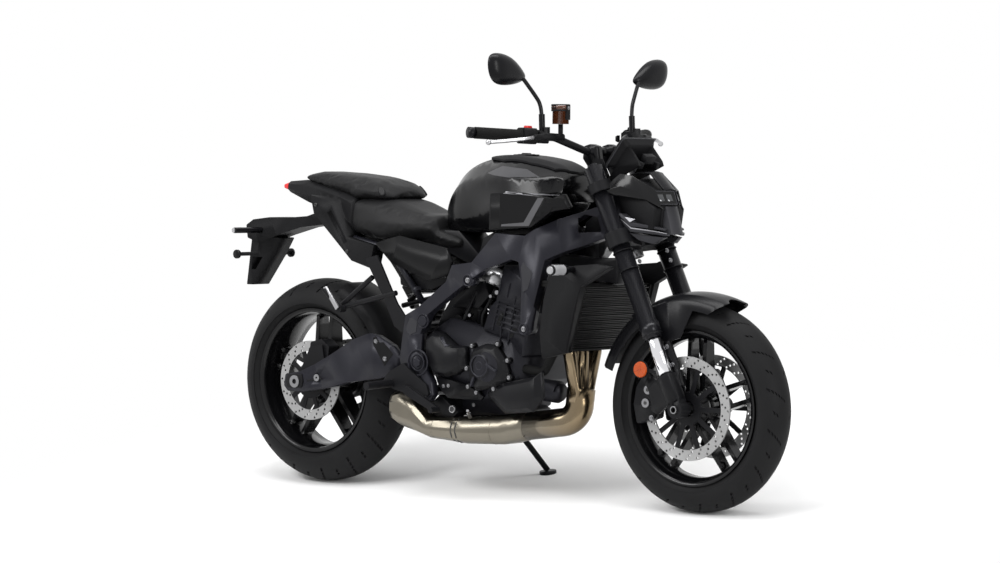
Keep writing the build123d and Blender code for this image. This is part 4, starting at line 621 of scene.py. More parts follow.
    def rounded(self, width: float, segments: int = 2, angle: float = 30.0) -> None:
        """Bevel every sharp edge.

        Args:
            width: the bevel's width.
            segments: its steps.
            angle: edges that turn more than this, in degrees, are sharp.
        """
        sharp = [
            edge for edge in self.mesh.edges
            if len(edge.link_faces) == 2 and edge.calc_face_angle(0) > math.radians(angle)
        ]
        bmesh.ops.bevel(
            self.mesh, geom=sharp, offset=width, offset_type="OFFSET", segments=segments, profile=0.5,
            affect="EDGES", material=-1, clamp_overlap=True,
        )

    def piece(
        self, name: str, finish: Finish, body: str, slot: str, outward: bool = True
    ) -> bpy.types.Object:
        """Turn the bench's mesh into a finished piece.

        Args:
            name: the piece's name.
            finish: its finish.
            body: the body that it rides on.
            slot: the record's material slot; not used.
            outward: True to turn every face outwards first.

        Returns:
            The object, at the origin with its place in its mesh.
        """
        if outward:
            bmesh.ops.recalc_face_normals(self.mesh, faces=self.mesh.faces)
        bmesh.ops.transform(self.mesh, matrix=STANCE.matrix(), verts=self.mesh.verts)
        data = bpy.data.meshes.new(name)
        self.mesh.to_mesh(data)
        self.mesh.free()
        data.materials.append(finish.material())
        data.shade_smooth()
        made = bpy.data.objects.new(name, data)
        bpy.context.scene.collection.objects.link(made)
        bpy.context.view_layer.objects.active = made
        with bpy.context.temp_override(object=made, active_object=made, selected_objects=[made]):
            data.set_sharp_from_angle(angle=math.radians(32))
        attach(made, body)
        log.info("made %s on %s", name, body)
        return made


def span(side: Side, near: float, far: float) -> tuple[float, float]:
    """Return two distances to the left, for a side, in rising order.

    Args:
        side: the side.
        near: distance from the middle, nearer.
        far: distance from the middle, farther.

    Returns:
        The lower and the higher one.
    """
    low, high = sorted((side.value * near, side.value * far))
    return low, high


def leg_x(z: float) -> float:
    """Return how far forward the fork legs' axis is at a height."""
    return LEG_FOOT_X - LEG_EASE * z


# ---------------------------------------------------------------- carried-over solids
@dataclass
class Solids:
    """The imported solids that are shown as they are, in better finishes."""

    finishes: dict[str, Finish]

    def dress(self) -> None:
        """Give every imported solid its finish."""
        for node, finish in self.finishes.items():
            item = frame["nodes"].get(node)
            if item is None:
                log.warning("no node %s", node)
                continue
            item.data.materials.clear()
            item.data.materials.append(finish.material())
            log.info("dressed %s as %s", node, finish.name)


# ---------------------------------------------------------------- wheels
@dataclass
class Tyre:
    """A tyre with slash grooves cut into its tread."""

    node: str
    body: str
    axle: tuple[float, float, float]
    radius: float
    width: float
    crown: float
    bead: float = 216.3
    bead_half: float = 44.2
    steps: int = 150
    grooves: int = 15
    groove_depth: float = 4.0

    def profile(self) -> list[tuple[float, float]]:
        """Return the outside section as (y, radius) points from the left bead to the right one."""
        half = self.width / 2
        points = [
            (self.bead_half - 2, self.bead), (self.bead_half, self.bead + 8), (half - 4, self.bead + 22)
        ]
        shoulder = self.radius - self.crown + math.sqrt(self.crown**2 - half**2)
        points += [(half - 0.6, (self.bead + shoulder) / 2 + 6), (half, shoulder)]
        rows = 8
        for row in range(1, rows + 1):
            y = half * (1 - row / rows)
            points.append((y, self.radius - self.crown + math.sqrt(self.crown**2 - y**2)))
        return points + [(-y, radius) for y, radius in reversed(points[:-1])]

    def build(self) -> bpy.types.Object:
        """Spin the tyre, shear its tread and press the grooves in.

        Returns:
            The tyre, in place of the plain solid.
        """
        bench = Bench()
        section = self.profile()
        verts = [bench.mesh.verts.new((self.axle[0], y, self.axle[2] + radius)) for y, radius in section]
        edges = [bench.mesh.edges.new(pair) for pair in zip(verts, verts[1:])]
        bmesh.ops.spin(
            bench.mesh, geom=verts + edges, cent=self.axle, axis=(0, 1, 0), angle=math.tau, steps=self.steps,
            use_merge=True,
        )
        self.press(bench)
        made = bench.piece(self.node + "_treaded", TYRE_RUBBER, self.body, "tyre")
        solid = made.modifiers.new("carcass", "SOLIDIFY")
        solid.thickness = 0.006
        solid.offset = -1
        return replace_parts(made, self.node)

    def press(self, bench: Bench) -> None:
        """Press slanted grooves into the tread.

        Args:
            bench: the bench that holds the spun tyre.
        """
        half = self.width / 2
        middle = Vector(self.axle)
        pitch = math.tau / self.steps
        every = self.steps // self.grooves
        chosen = {face: 0 for face in bench.mesh.faces}
        picked = []
        for face in chosen:
            place = face.calc_center_median() - middle
            share = abs(place.y) / half
            angle = math.atan2(place.x, place.z) % math.tau
            column = int(angle / pitch + 0.01)
            lean = 1 if place.y > 0 else every // 2
            if 0.10 < share < 0.88 and (column + lean) % every == 0 and place.xz.length > self.radius - 42:
                picked.append(face)
            elif 0.45 < share < 0.80 and (column + lean + every // 2) % every == 0:
                picked.append(face)
        twist = math.radians(11)
        for vert in bench.mesh.verts:
            offset = vert.co - middle
            share = min(1.0, abs(offset.y) / half)
            if offset.xz.length > self.radius - 60:
                turn = Matrix.Rotation(-twist * share, 3, "Y")
                vert.co = middle + turn @ offset
        inset = bmesh.ops.inset_individual(bench.mesh, faces=picked, thickness=2.6, depth=0)
        bmesh.ops.inset_individual(bench.mesh, faces=picked, thickness=0.8, depth=-self.groove_depth)
        log.info("pressed %d groove faces (%d rims)", len(picked), len(inset["faces"]))


@dataclass
class DrilledDisc:
    """Brake discs drilled in slanted rows, on a dark carrier."""

    node: str
    body: str
    axle: tuple[float, float, float]
    faces_y: tuple[float, ...]
    outer: float
    ring: float = 31.0
    rows: int = 24
    hole: float = 3.6

    def cutters(self) -> bpy.types.Object:
        """Return the joined drills as one hidden object."""
        bench = Bench()
        for y in self.faces_y:
            for row in range(self.rows):
                for step in range(3):
                    radius = self.outer - 6 - step * (self.ring - 11) / 2
                    angle = math.tau * (row + step * 0.28) / self.rows
                    x = self.axle[0] + radius * math.cos(angle)
                    z = self.axle[2] + radius * math.sin(angle)
                    bench.rod((x, y - 8, z), (x, y + 8, z), self.hole, sides=10)
        return bench.piece(self.node + "_drills", DARK_STEEL, self.body, "disc_steel")

    def build(self) -> bpy.types.Object:
        """Drill a copy of the plain discs.

        Returns:
            The drilled discs, in place of the plain ones.
        """
        bench = Bench.from_node(self.node)
        made = bench.piece(self.node + "_drilled", DISC_STEEL, self.body, "disc_steel", outward=False)
        drills = self.cutters()
        cut = made.modifiers.new("drilled", "BOOLEAN")
        cut.operation = "DIFFERENCE"
        cut.object = drills
        cut.solver = "EXACT"
        holder = made.evaluated_get(bpy.context.evaluated_depsgraph_get())
        data = bpy.data.meshes.new_from_object(holder)
        made.modifiers.clear()
        made.data = data
        bpy.data.objects.remove(drills)
        data.materials.clear()
        data.materials.append(DISC_STEEL.material())
        data.materials.append(CAST_BLACK.material())
        data.shade_smooth()
        data.set_sharp_from_angle(angle=math.radians(20))
        upright = STANCE.matrix().inverted()
        for face in data.polygons:
            offset = upright @ face.center - Vector(self.axle)
            face.material_index = 1 if offset.xz.length < self.outer - self.ring - 1 else 0
        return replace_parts(made, self.node)


# ---------------------------------------------------------------- seats
@dataclass
class Pad:
    """A foam pad under a grained cover, puffed up by a cloth simulation."""

    node: str
    finish: Finish
    voxel_mm: float = 6.0
    pressure: float = 3.0
    most_mm: float = 6.0
    frames: int = 14

    def build(self) -> bpy.types.Object:
        """Puff the pad up and put it in place of its plain solid.

        Returns:
            The finished pad.
        """
        bench = Bench.from_node(self.node)
        made = bench.piece(self.node + "_padded", self.finish, "root", "seat_vinyl", outward=False)
        remesh = made.modifiers.new("even", "REMESH")
        remesh.mode = "VOXEL"
        remesh.voxel_size = self.voxel_mm * MM
        smooth = made.modifiers.new("soft", "SMOOTH")
        smooth.factor = 0.5
        smooth.iterations = 10
        self.settle(made)
        self.puff(made)
        rounding = made.modifiers.new("fine", "SUBSURF")
        rounding.levels = rounding.render_levels = 1
        made.data.shade_smooth()
        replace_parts(made, self.node)
        return made

    def settle(self, made: bpy.types.Object) -> None:
        """Apply the object's modifiers to its mesh."""
        holder = made.evaluated_get(bpy.context.evaluated_depsgraph_get())
        data = bpy.data.meshes.new_from_object(holder)
        made.modifiers.clear()
        made.data = data

    def puff(self, made: bpy.types.Object) -> None:
        """Run the cloth simulation, then keep each point within reach of where it started.

        Args:
            made: the pad's object.
        """
        start = [vert.co.copy() for vert in made.data.vertices]
        cloth = made.modifiers.new("cover", "CLOTH")
        cloth.settings.effector_weights.gravity = 0
        cloth.settings.use_pressure = True
        cloth.settings.uniform_pressure_force = self.pressure
        cloth.settings.quality = 6
        cloth.settings.mass = 0.3
        cloth.point_cache.frame_start = 1
        cloth.point_cache.frame_end = self.frames
        for step in range(1, self.frames + 1):
            bpy.context.scene.frame_set(step)
        self.settle(made)
        bpy.context.scene.frame_set(1)
        limit = self.most_mm * MM
        for vert, before in zip(made.data.vertices, start):
            moved = vert.co - before
            if moved.length > limit:
                vert.co = before + moved.normalized() * limit


# ---------------------------------------------------------------- surfaces to set small pieces on
def body_of_node(node: str) -> str:
    """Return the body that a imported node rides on."""
    bodies = frame["record"]["behaviour"]["bodies"]
    return next(body for body, nodes in bodies.items() if node in nodes)


def slot_of_node(node: str) -> str:
    """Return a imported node's material slot."""
    return next(part["material_slot"] for part in frame["record"]["subparts"] if part["node"] == node)


class Skin:
    """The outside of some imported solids, upright and in millimetres, to set small pieces on."""

    def __init__(self, *nodes: str) -> None:
        """Read the named solids' surfaces."""
        joined = bmesh.new()
        for node in nodes:
            joined.from_mesh(frame["nodes"][node].data)
        bmesh.ops.transform(joined, matrix=STANCE.matrix().inverted(), verts=joined.verts)
        self.tree = BVHTree.FromBMesh(joined)
        joined.free()

    def reach(self, start: Point, heading: Point) -> tuple[Vector, Vector] | None:
        """Find where a line from outside first meets the solids.

        Args:
            start: a point outside them.
            heading: the way the line runs.

        Returns:
            The place and the way the surface faces there, or None where the line misses.
        """
        place, facing, _index, _distance = self.tree.ray_cast(Vector(start), Vector(heading))
        if place is None:
            return None
        return place, facing if facing.dot(Vector(heading)) < 0 else -facing

    def beside(self, x: float, z: float, side: Side) -> tuple[Vector, Vector] | None:
        """Find the surface at a height and length, from one side."""
        return self.reach((x, side.value * 600.0, z), (0, -side.value, 0))

    def above(self, x: float, y: float) -> tuple[Vector, Vector] | None:
        """Find the surface from above."""
        return self.reach((x, y, 1600.0), (0, 0, -1))


@dataclass
class Smoothed:
    """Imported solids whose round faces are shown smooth, with softly rounded edges."""

    nodes: Sequence[str]
    angle: float = 40.0

    def build(self) -> None:
        """Put a smooth copy in place of each solid."""
        for node in self.nodes:
            bench = Bench.from_node(node)
            finish = NODE_FINISHES[node]
            made = bench.piece(
                node + "_smooth", finish, body_of_node(node), slot_of_node(node), outward=False
            )
            made.data.set_sharp_from_angle(angle=math.radians(self.angle))
            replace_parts(made, node)


@dataclass
class Panel:
    """A thin panel or painted area that follows the surface under it."""

    name: str
    outline: Sequence[tuple[float, float]]
    finish: Finish
    thick: float = 0.8
    cell: float = 14.0
    body: str = "root"
    slot: str = "tank_paint"
    sides: tuple[Side, ...] = (Side.LEFT, Side.RIGHT)

    def build(self, skin: Skin) -> bpy.types.Object:
        """Lay the panel on each side.

        Args:
            skin: the surface that it follows.

        Returns:
            The panels as one piece.
        """
        bench = Bench()
        for side in self.sides:
            self.lay(bench, skin, side)
        return bench.piece(self.name, self.finish, self.body, self.slot)

    def lay(self, bench: Bench, skin: Skin, side: Side) -> None:
        """Lay one panel on the surface at a side.

        Args:
            bench: the bench that takes it.
            skin: the surface.
            side: the side that it lies on.
        """
        sheet = bmesh.new()
        sheet.faces.new([sheet.verts.new((x, 0, z)) for x, z in self.outline])
        for axis in (0, 2):
            low = min(vert.co[axis] for vert in sheet.verts)
            high = max(vert.co[axis] for vert in sheet.verts)
            facing = Vector((1, 0, 0)) if axis == 0 else Vector((0, 0, 1))
            for step in range(1, math.ceil((high - low) / self.cell)):
                geometry = sheet.verts[:] + sheet.edges[:] + sheet.faces[:]
                cut = facing * (low + step * self.cell)
                bmesh.ops.bisect_plane(sheet, geom=geometry, plane_co=cut, plane_no=facing, dist=0.01)
        bmesh.ops.triangulate(sheet, faces=sheet.faces[:])
        lost = []
        for vert in sheet.verts:
            found = skin.beside(vert.co.x, vert.co.z, side)
            if found is None:
                lost.append(vert)
            else:
                vert.co = found[0] + found[1] * self.thick
        bmesh.ops.delete(sheet, geom=lost, context="VERTS")
        bmesh.ops.recalc_face_normals(sheet, faces=sheet.faces)
        if sum(face.normal.y * side.value for face in sheet.faces) < 0:
            bmesh.ops.reverse_faces(sheet, faces=sheet.faces[:])
        bmesh.ops.solidify(sheet, geom=sheet.faces[:], thickness=self.thick)
        bench.absorb(sheet)


@dataclass
class BoltSet:
    """Bolt heads set on a surface from the side."""

    name: str
    places: Sequence[tuple[float, float]]
    radius: float = 6.0
    finish: Finish = BOLT_STEEL
    body: str = "root"
    slot: str = "axle_steel"
    sides: tuple[Side, ...] = (Side.LEFT, Side.RIGHT)

    def build(self, skin: Skin) -> bpy.types.Object:
        """Set every bolt.

        Args:
            skin: the surface that they sit on.

        Returns:
            The bolts as one piece.
        """
        bench = Bench()
        for side in self.sides:
            for x, z in self.places:
                found = skin.beside(x, z, side)
                if found is None:
                    log.warning("%s: nothing under a bolt at %.0f, %.0f", self.name, x, z)
                    continue
                bench.bolt(found[0], (0, side.value, 0), self.radius, self.radius * 0.7)
        return bench.piece(self.name, self.finish, self.body, self.slot)


# ---------------------------------------------------------------- tank and top
@dataclass
class TankDress:
    """The tank's stripes, side panels and top cover."""

    side_panel: tuple[tuple[float, float], ...] = ((107, 905), (261, 895), (203, 811), (106, 806))
    slash: tuple[tuple[float, float], ...] = (
        (249, 893), (272, 893), (216, 811), (112, 808), (114, 814), (197, 821)
    )
    wing_panel: tuple[tuple[float, float], ...] = ((299, 897), (360, 891), (352, 842), (222, 811), (277, 893))
    upper_line: tuple[tuple[float, float], ...] = ((107, 910), (300, 901), (300, 898), (107, 906))
    top_strip: tuple[tuple[float, float], ...] = (
        (-2, 962), (50, 984), (150, 975), (226, 946), (199, 944), (40, 956)
    )
    inset: tuple[tuple[float, float], ...] = ((250, 955), (292, 952), (296, 916), (272, 926))
    cover_half: tuple[tuple[float, float], ...] = (
        (-44, 0), (-26, 46), (40, 70), (150, 78), (236, 70), (266, 40), (272, 0)
    )
    cap: tuple[float, float, float] = (70.0, 0.0, 1011.0)

    def build(self) -> None:
        """Lay every panel, then the top cover and the filler cap."""
        skin = Skin("fuel_tank", "side_covers")
        Panel("tank_side_panels", self.side_panel, PANEL_BLACK).build(skin)
        Panel("tank_slashes", self.slash, SLASH_GREY, thick=1.1).build(skin)
        Panel("tank_wing_panels", self.wing_panel, PANEL_BLACK, thick=0.9).build(skin)
        Panel("tank_upper_lines", self.upper_line, STRIPE_SILVER, thick=1.2).build(skin)
        Panel("tank_top_strips", self.top_strip, STRIPE_GREY).build(skin)
        Panel("tank_insets", self.inset, PANEL_BLACK).build(skin)
        self.top_cover()

    def top_cover(self) -> None:
        """Lay the cover over the tank's top and set the filler cap on it."""
        skin = Skin("fuel_tank")
        bench = Bench()
        outline = list(self.cover_half) + [(x, -y) for x, y in reversed(self.cover_half) if y > 0]
        bench.mesh.faces.new([bench.mesh.verts.new((x, y, 0)) for x, y in outline])
        for step in range(-4, 28):
            geometry = bench.mesh.verts[:] + bench.mesh.edges[:] + bench.mesh.faces[:]
            bmesh.ops.bisect_plane(
                bench.mesh, geom=geometry, plane_co=(step * 11, 0, 0), plane_no=(1, 0, 0), dist=0.01
            )
        for step in range(-6, 7):
            geometry = bench.mesh.verts[:] + bench.mesh.edges[:] + bench.mesh.faces[:]
            bmesh.ops.bisect_plane(
                bench.mesh, geom=geometry, plane_co=(0, step * 11, 0), plane_no=(0, 1, 0), dist=0.01
            )
        bmesh.ops.triangulate(bench.mesh, faces=bench.mesh.faces[:])
        for vert in bench.mesh.verts:
            found = skin.above(vert.co.x, vert.co.y)
            vert.co.z = (found[0].z if found else 960.0) + 2.0
        bmesh.ops.solidify(bench.mesh, geom=bench.mesh.faces[:], thickness=6.0)
        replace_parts(bench.piece("tank_top_shell", MATT_PLASTIC, "root", "matt_plastic"), "tank_top_cover")
        cap = Bench()
        x, y, z = self.cap
        cap.rod((x, y, z), (x, y, z + 7), 36, 34, sides=48)
        cap.rod((x, y, z + 7), (x, y, z + 9), 26, 25, sides=48)
        cap.ring((x, y, z + 6), (0, 0, 1), 37, 2)
        cap.slab([(x - 14, z + 9), (x + 14, z + 9), (x + 10, z + 12), (x - 10, z + 12)], -7, 7)
        cap.piece("filler_cap", SMOOTH_PLASTIC, "root", "matt_plastic")


# ---------------------------------------------------------------- headlamp, meter, mirrors and controls
@dataclass
class Headlamp:
    """The nose: two gloss wings, a recess with fins, and the lamp boxes."""

    wing_upper: tuple[Point, ...] = ((428, 114, 912), (487, 88, 966), (524, 78, 960), (590, 56, 918))
    wing_middle: tuple[Point, ...] = ((455, 117, 916), (500, 106, 930), (548, 92, 918), (606, 52, 876))
    wing_lower: tuple[Point, ...] = ((440, 113, 906), (500, 100, 902), (572, 80, 892), (618, 46, 862))
    crest: tuple[Point, ...] = (
        (462, 46, 955), (510, 36, 970), (551, 30, 969), (594, 28, 925), (602, 26, 918)
    )
    sweep: float = 0.66

    def swept(self, bench: Bench, start: float, ease: float) -> None:
        """Sweep a bench's points back away from the middle.

        Args:
            bench: the bench.
            start: distance from the middle where the sweep starts.
            ease: millimetres back for each millimetre outwards.
        """
        for vert in bench.mesh.verts:
            vert.co.x -= max(0.0, abs(vert.co.y) - start) * ease

    def drawn_in(self, bench: Bench, start: float, end: float, share: float) -> None:
        """Narrow a bench towards the front.

        Args:
            bench: the bench.
            start: where the narrowing starts.
            end: where it has its full share.
            share: how much of the width is left there.
        """
        for vert in bench.mesh.verts:
            along = min(1.0, max(0.0, (vert.co.x - start) / (end - start)))
            vert.co.y *= 1 - (1 - share) * along

    def mirrored(self, bench: Bench) -> None:
        """Add the right half of everything on a bench that holds the left half."""
        bmesh.ops.recalc_face_normals(bench.mesh, faces=bench.mesh.faces)
        bmesh.ops.mirror(
            bench.mesh, geom=bench.mesh.verts[:] + bench.mesh.edges[:] + bench.mesh.faces[:],
            matrix=Matrix.Identity(4), merge_dist=-1, axis="Y",
        )

    def wings(self) -> None:
        """Build the gloss wings beside the lamps."""
        bench = Bench()
        rows = [
            [bench.mesh.verts.new(point) for point in row]
            for row in (self.wing_upper, self.wing_middle, self.wing_lower)
        ]
        for high, low in zip(rows, rows[1:]):
            for index in range(3):
                bench.mesh.faces.new([high[index], high[index + 1], low[index + 1], low[index]])
        bench.mesh.faces.ensure_lookup_table()
        bmesh.ops.recalc_face_normals(bench.mesh, faces=bench.mesh.faces)
        bmesh.ops.solidify(bench.mesh, geom=bench.mesh.faces[:], thickness=6.0)
        bench.rounded(1.2, 2)
        self.mirrored(bench)
        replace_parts(bench.piece("headlamp_wings", GLOSS_BLACK, "steering", "matt_plastic"), "headlamp_cowl")

    def nose(self) -> None:
        """Build the crest over the lamps and the dark core that carries it all."""
        bench = Bench()
        half = [bench.mesh.verts.new(point) for point in self.crest]
        other = [bench.mesh.verts.new((x, -y, z)) for x, y, z in self.crest]
        top = [bench.mesh.verts.new((x + 3, 0, z + 4)) for x, _y, z in self.crest]
        for index in range(len(half) - 1):
            bench.mesh.faces.new([half[index], half[index + 1], top[index + 1], top[index]])
            bench.mesh.faces.new([top[index], top[index + 1], other[index + 1], other[index]])
        bmesh.ops.recalc_face_normals(bench.mesh, faces=bench.mesh.faces)
        bmesh.ops.solidify(bench.mesh, geom=bench.mesh.faces[:], thickness=5.0)
        bench.rounded(1.0, 2)
        bench.piece("headlamp_crest", SMOOTH_PLASTIC, "steering", "matt_plastic")
        core = Bench()
        core.slab(
            [(448, 900), (480, 948), (520, 950), (590, 912), (604, 872), (600, 800), (560, 790), (470, 852)],
            -42, 42
        )
        core.slab([(470, 905), (560, 900), (600, 866), (590, 806), (540, 800), (478, 850)], -72, 72)
        core.rounded(4, 2)
        core.piece("headlamp_core", MATT_PLASTIC, "steering", "matt_plastic")

    def lamps(self) -> None:
        """Build the lamp boxes and the satin nose."""
        boxes, frames, glass = Bench(), Bench(), Bench()
        for side in Side:
            near, far = span(side, 4, 56)
            boxes.slab([(566, 917), (616, 917), (630, 877), (566, 873)], near, far)
            for z, x in ((916, 617), (879, 630)):
                frames.rod((x, near, z), (x, far, z), 1.3, sides=8)
            for y in (near, far):
                frames.rod((617, y, 916), (630, y, 879), 1.3, sides=8)
            for y in (side.value * 20, side.value * 41):
                glass.slab([(616, 908), (619, 908), (629, 888), (624, 886)], y - 7, y + 7)
        for bench in (boxes, frames, glass):
            self.swept(bench, 4, self.sweep)
        boxes.piece("lamp_boxes", GLOSS_BLACK, "steering", "matt_plastic")
        frames.piece("lamp_box_frames", TRIM_GREY, "steering", "lamp_lens")
        glass.rounded(1, 2)
        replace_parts(glass.piece("lamp_lenses", LAMP_GLASS, "steering", "lamp_lens"), "headlamp_unit")
        nose = Bench()
        outline = [(560, 30), (596, 34), (612, 28), (620, 16), (623, 0)]
        ring = outline + [(x, -y) for x, y in reversed(outline) if y > 0]
        low = [nose.mesh.verts.new((x + 16, y, 792)) for x, y in ring]
        high = [nose.mesh.verts.new((x - 6, y, 873)) for x, y in ring]
        nose.mesh.faces.new(low)
        nose.mesh.faces.new(high)
        for index in range(len(ring)):
            after = (index + 1) % len(ring)
            nose.mesh.faces.new([low[index], low[after], high[after], high[index]])
        nose.rounded(3, 2, 50)
        nose.piece("lamp_nose", TRIM_GREY, "steering", "matt_plastic")

    def fins(self) -> None:
        """Build the satin fins and plates under the recess."""
        bench, trim = Bench(), Bench()
        for side in Side:
            upper = [
                (488, 851), (500, 851), (536, 826), (590, 816), (618, 808), (616, 803), (588, 809),
                (530, 815)
            ]
            middle = [(494, 836), (534, 810), (590, 801), (622, 794), (620, 788), (588, 793), (530, 800)]
            bench.slab(upper, *span(side, 66, 100))
            bench.slab(middle, *span(side, 60, 97))
            bench.slab([(520, 797), (586, 787), (614, 784), (584, 765), (548, 776)], *span(side, 54, 90))
            trim.slab(
                [(494, 838), (534, 812), (590, 803), (622, 796), (622, 794.5), (590, 800.5), (533, 808.5)],
                *span(side, 96, 98.2)
            )
            trim.slab([(514, 842), (545, 836), (532, 827)], *span(side, 99, 101.5))
        for item in (bench, trim):
            self.drawn_in(item, 530, 620, 0.45)
        bench.rounded(1.2, 2)
        bench.piece("headlamp_fins", TRIM_GREY, "steering", "matt_plastic")
        trim.piece("headlamp_trim", STRIPE_SILVER, "steering", "matt_plastic")

    def build(self) -> None:
        """Build the whole nose."""
        self.wings()
        self.nose()
        self.lamps()
        self.fins()


@dataclass
class Mirrors:
    """Two drop-shaped mirrors on bent stalks."""

    outline: tuple[tuple[float, float], ...] = (
        (
            260, 1248
        ), (292, 1277), (330, 1300), (372, 1308), (404, 1306), (420, 1294), (422, 1268), (414, 1240),
        (394, 1220), (360, 1214), (310, 1217), (274, 1226), (257, 1236),
    )
    back_x: float = 264.0
    middle: tuple[float, float] = (352.0, 1262.0)

    def build(self) -> None:
        """Build the heads, stalks and glasses on both sides."""
        heads, glasses, stalks = Bench(), Bench(), Bench()
        for side in Side:
            self.head(heads, side)
            self.ring_face(glasses, side, self.back_x + 1.5, 0.93, self.back_x - 0.5)
            y = side.value
            stalks.rod((300, y * 214, 1085), (298, y * 214, 1135), 9, sides=20)
            stalks.tube(
                [(298, y * 214, 1120), (297, y * 214, 1158), (290, y * 236, 1190), (276, y * 276, 1238)], 6
            )
        heads_piece = heads.piece("mirror_heads", SMOOTH_PLASTIC, "steering", "bar_black")
        rounding = heads_piece.modifiers.new("rounding", "SUBSURF")
        rounding.levels = rounding.render_levels = 2
        heads_piece.data.set_sharp_from_angle(angle=math.pi)
        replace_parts(heads_piece, "mirrors")
        stalks.piece("mirror_stalks", SMOOTH_PLASTIC, "steering", "bar_black")
        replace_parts(glasses.piece("mirror_faces", MIRROR_GLASS, "steering", "mirror_glass"), "mirror_glasses")

    def ring_at(self, bench: Bench, side: Side, x: float, share: float) -> list[bmesh.types.BMVert]:
        """Return the outline's points at a depth, drawn in to a share of its size."""
        y0, z0 = self.middle
        return [
            bench.mesh.verts.new((x, side.value * (y0 + (y - y0) * share), z0 + (z - z0) * share))
            for y, z in self.outline
        ]

    def head(self, bench: Bench, side: Side) -> None:
        """Add a mirror's bowl.

        Args:
            bench: the bench that takes it.
            side: its side.
        """
        depths = ((2, 0.95), (0, 1.0), (7, 1.0), (18, 0.9), (27, 0.68), (32, 0.36))
        rings = [self.ring_at(bench, side, self.back_x + depth, share) for depth, share in depths]
        for low, high in zip(rings, rings[1:]):
            for index in range(len(low)):
                after = (index + 1) % len(low)
                bench.mesh.faces.new([low[index], low[after], high[after], high[index]])
        bench.mesh.faces.new(rings[0])
        bench.mesh.faces.new(rings[-1])

    def ring_face(self, bench: Bench, side: Side, x: float, share: float, far_x: float) -> None:
        """Add a thin plate with the outline's shape between two depths."""
        low, high = self.ring_at(bench, side, x, share), self.ring_at(bench, side, far_x, share)
        bench.mesh.faces.new(low)
        bench.mesh.faces.new(high)
        for index in range(len(low)):
            after = (index + 1) % len(low)
            bench.mesh.faces.new([low[index], low[after], high[after], high[index]])


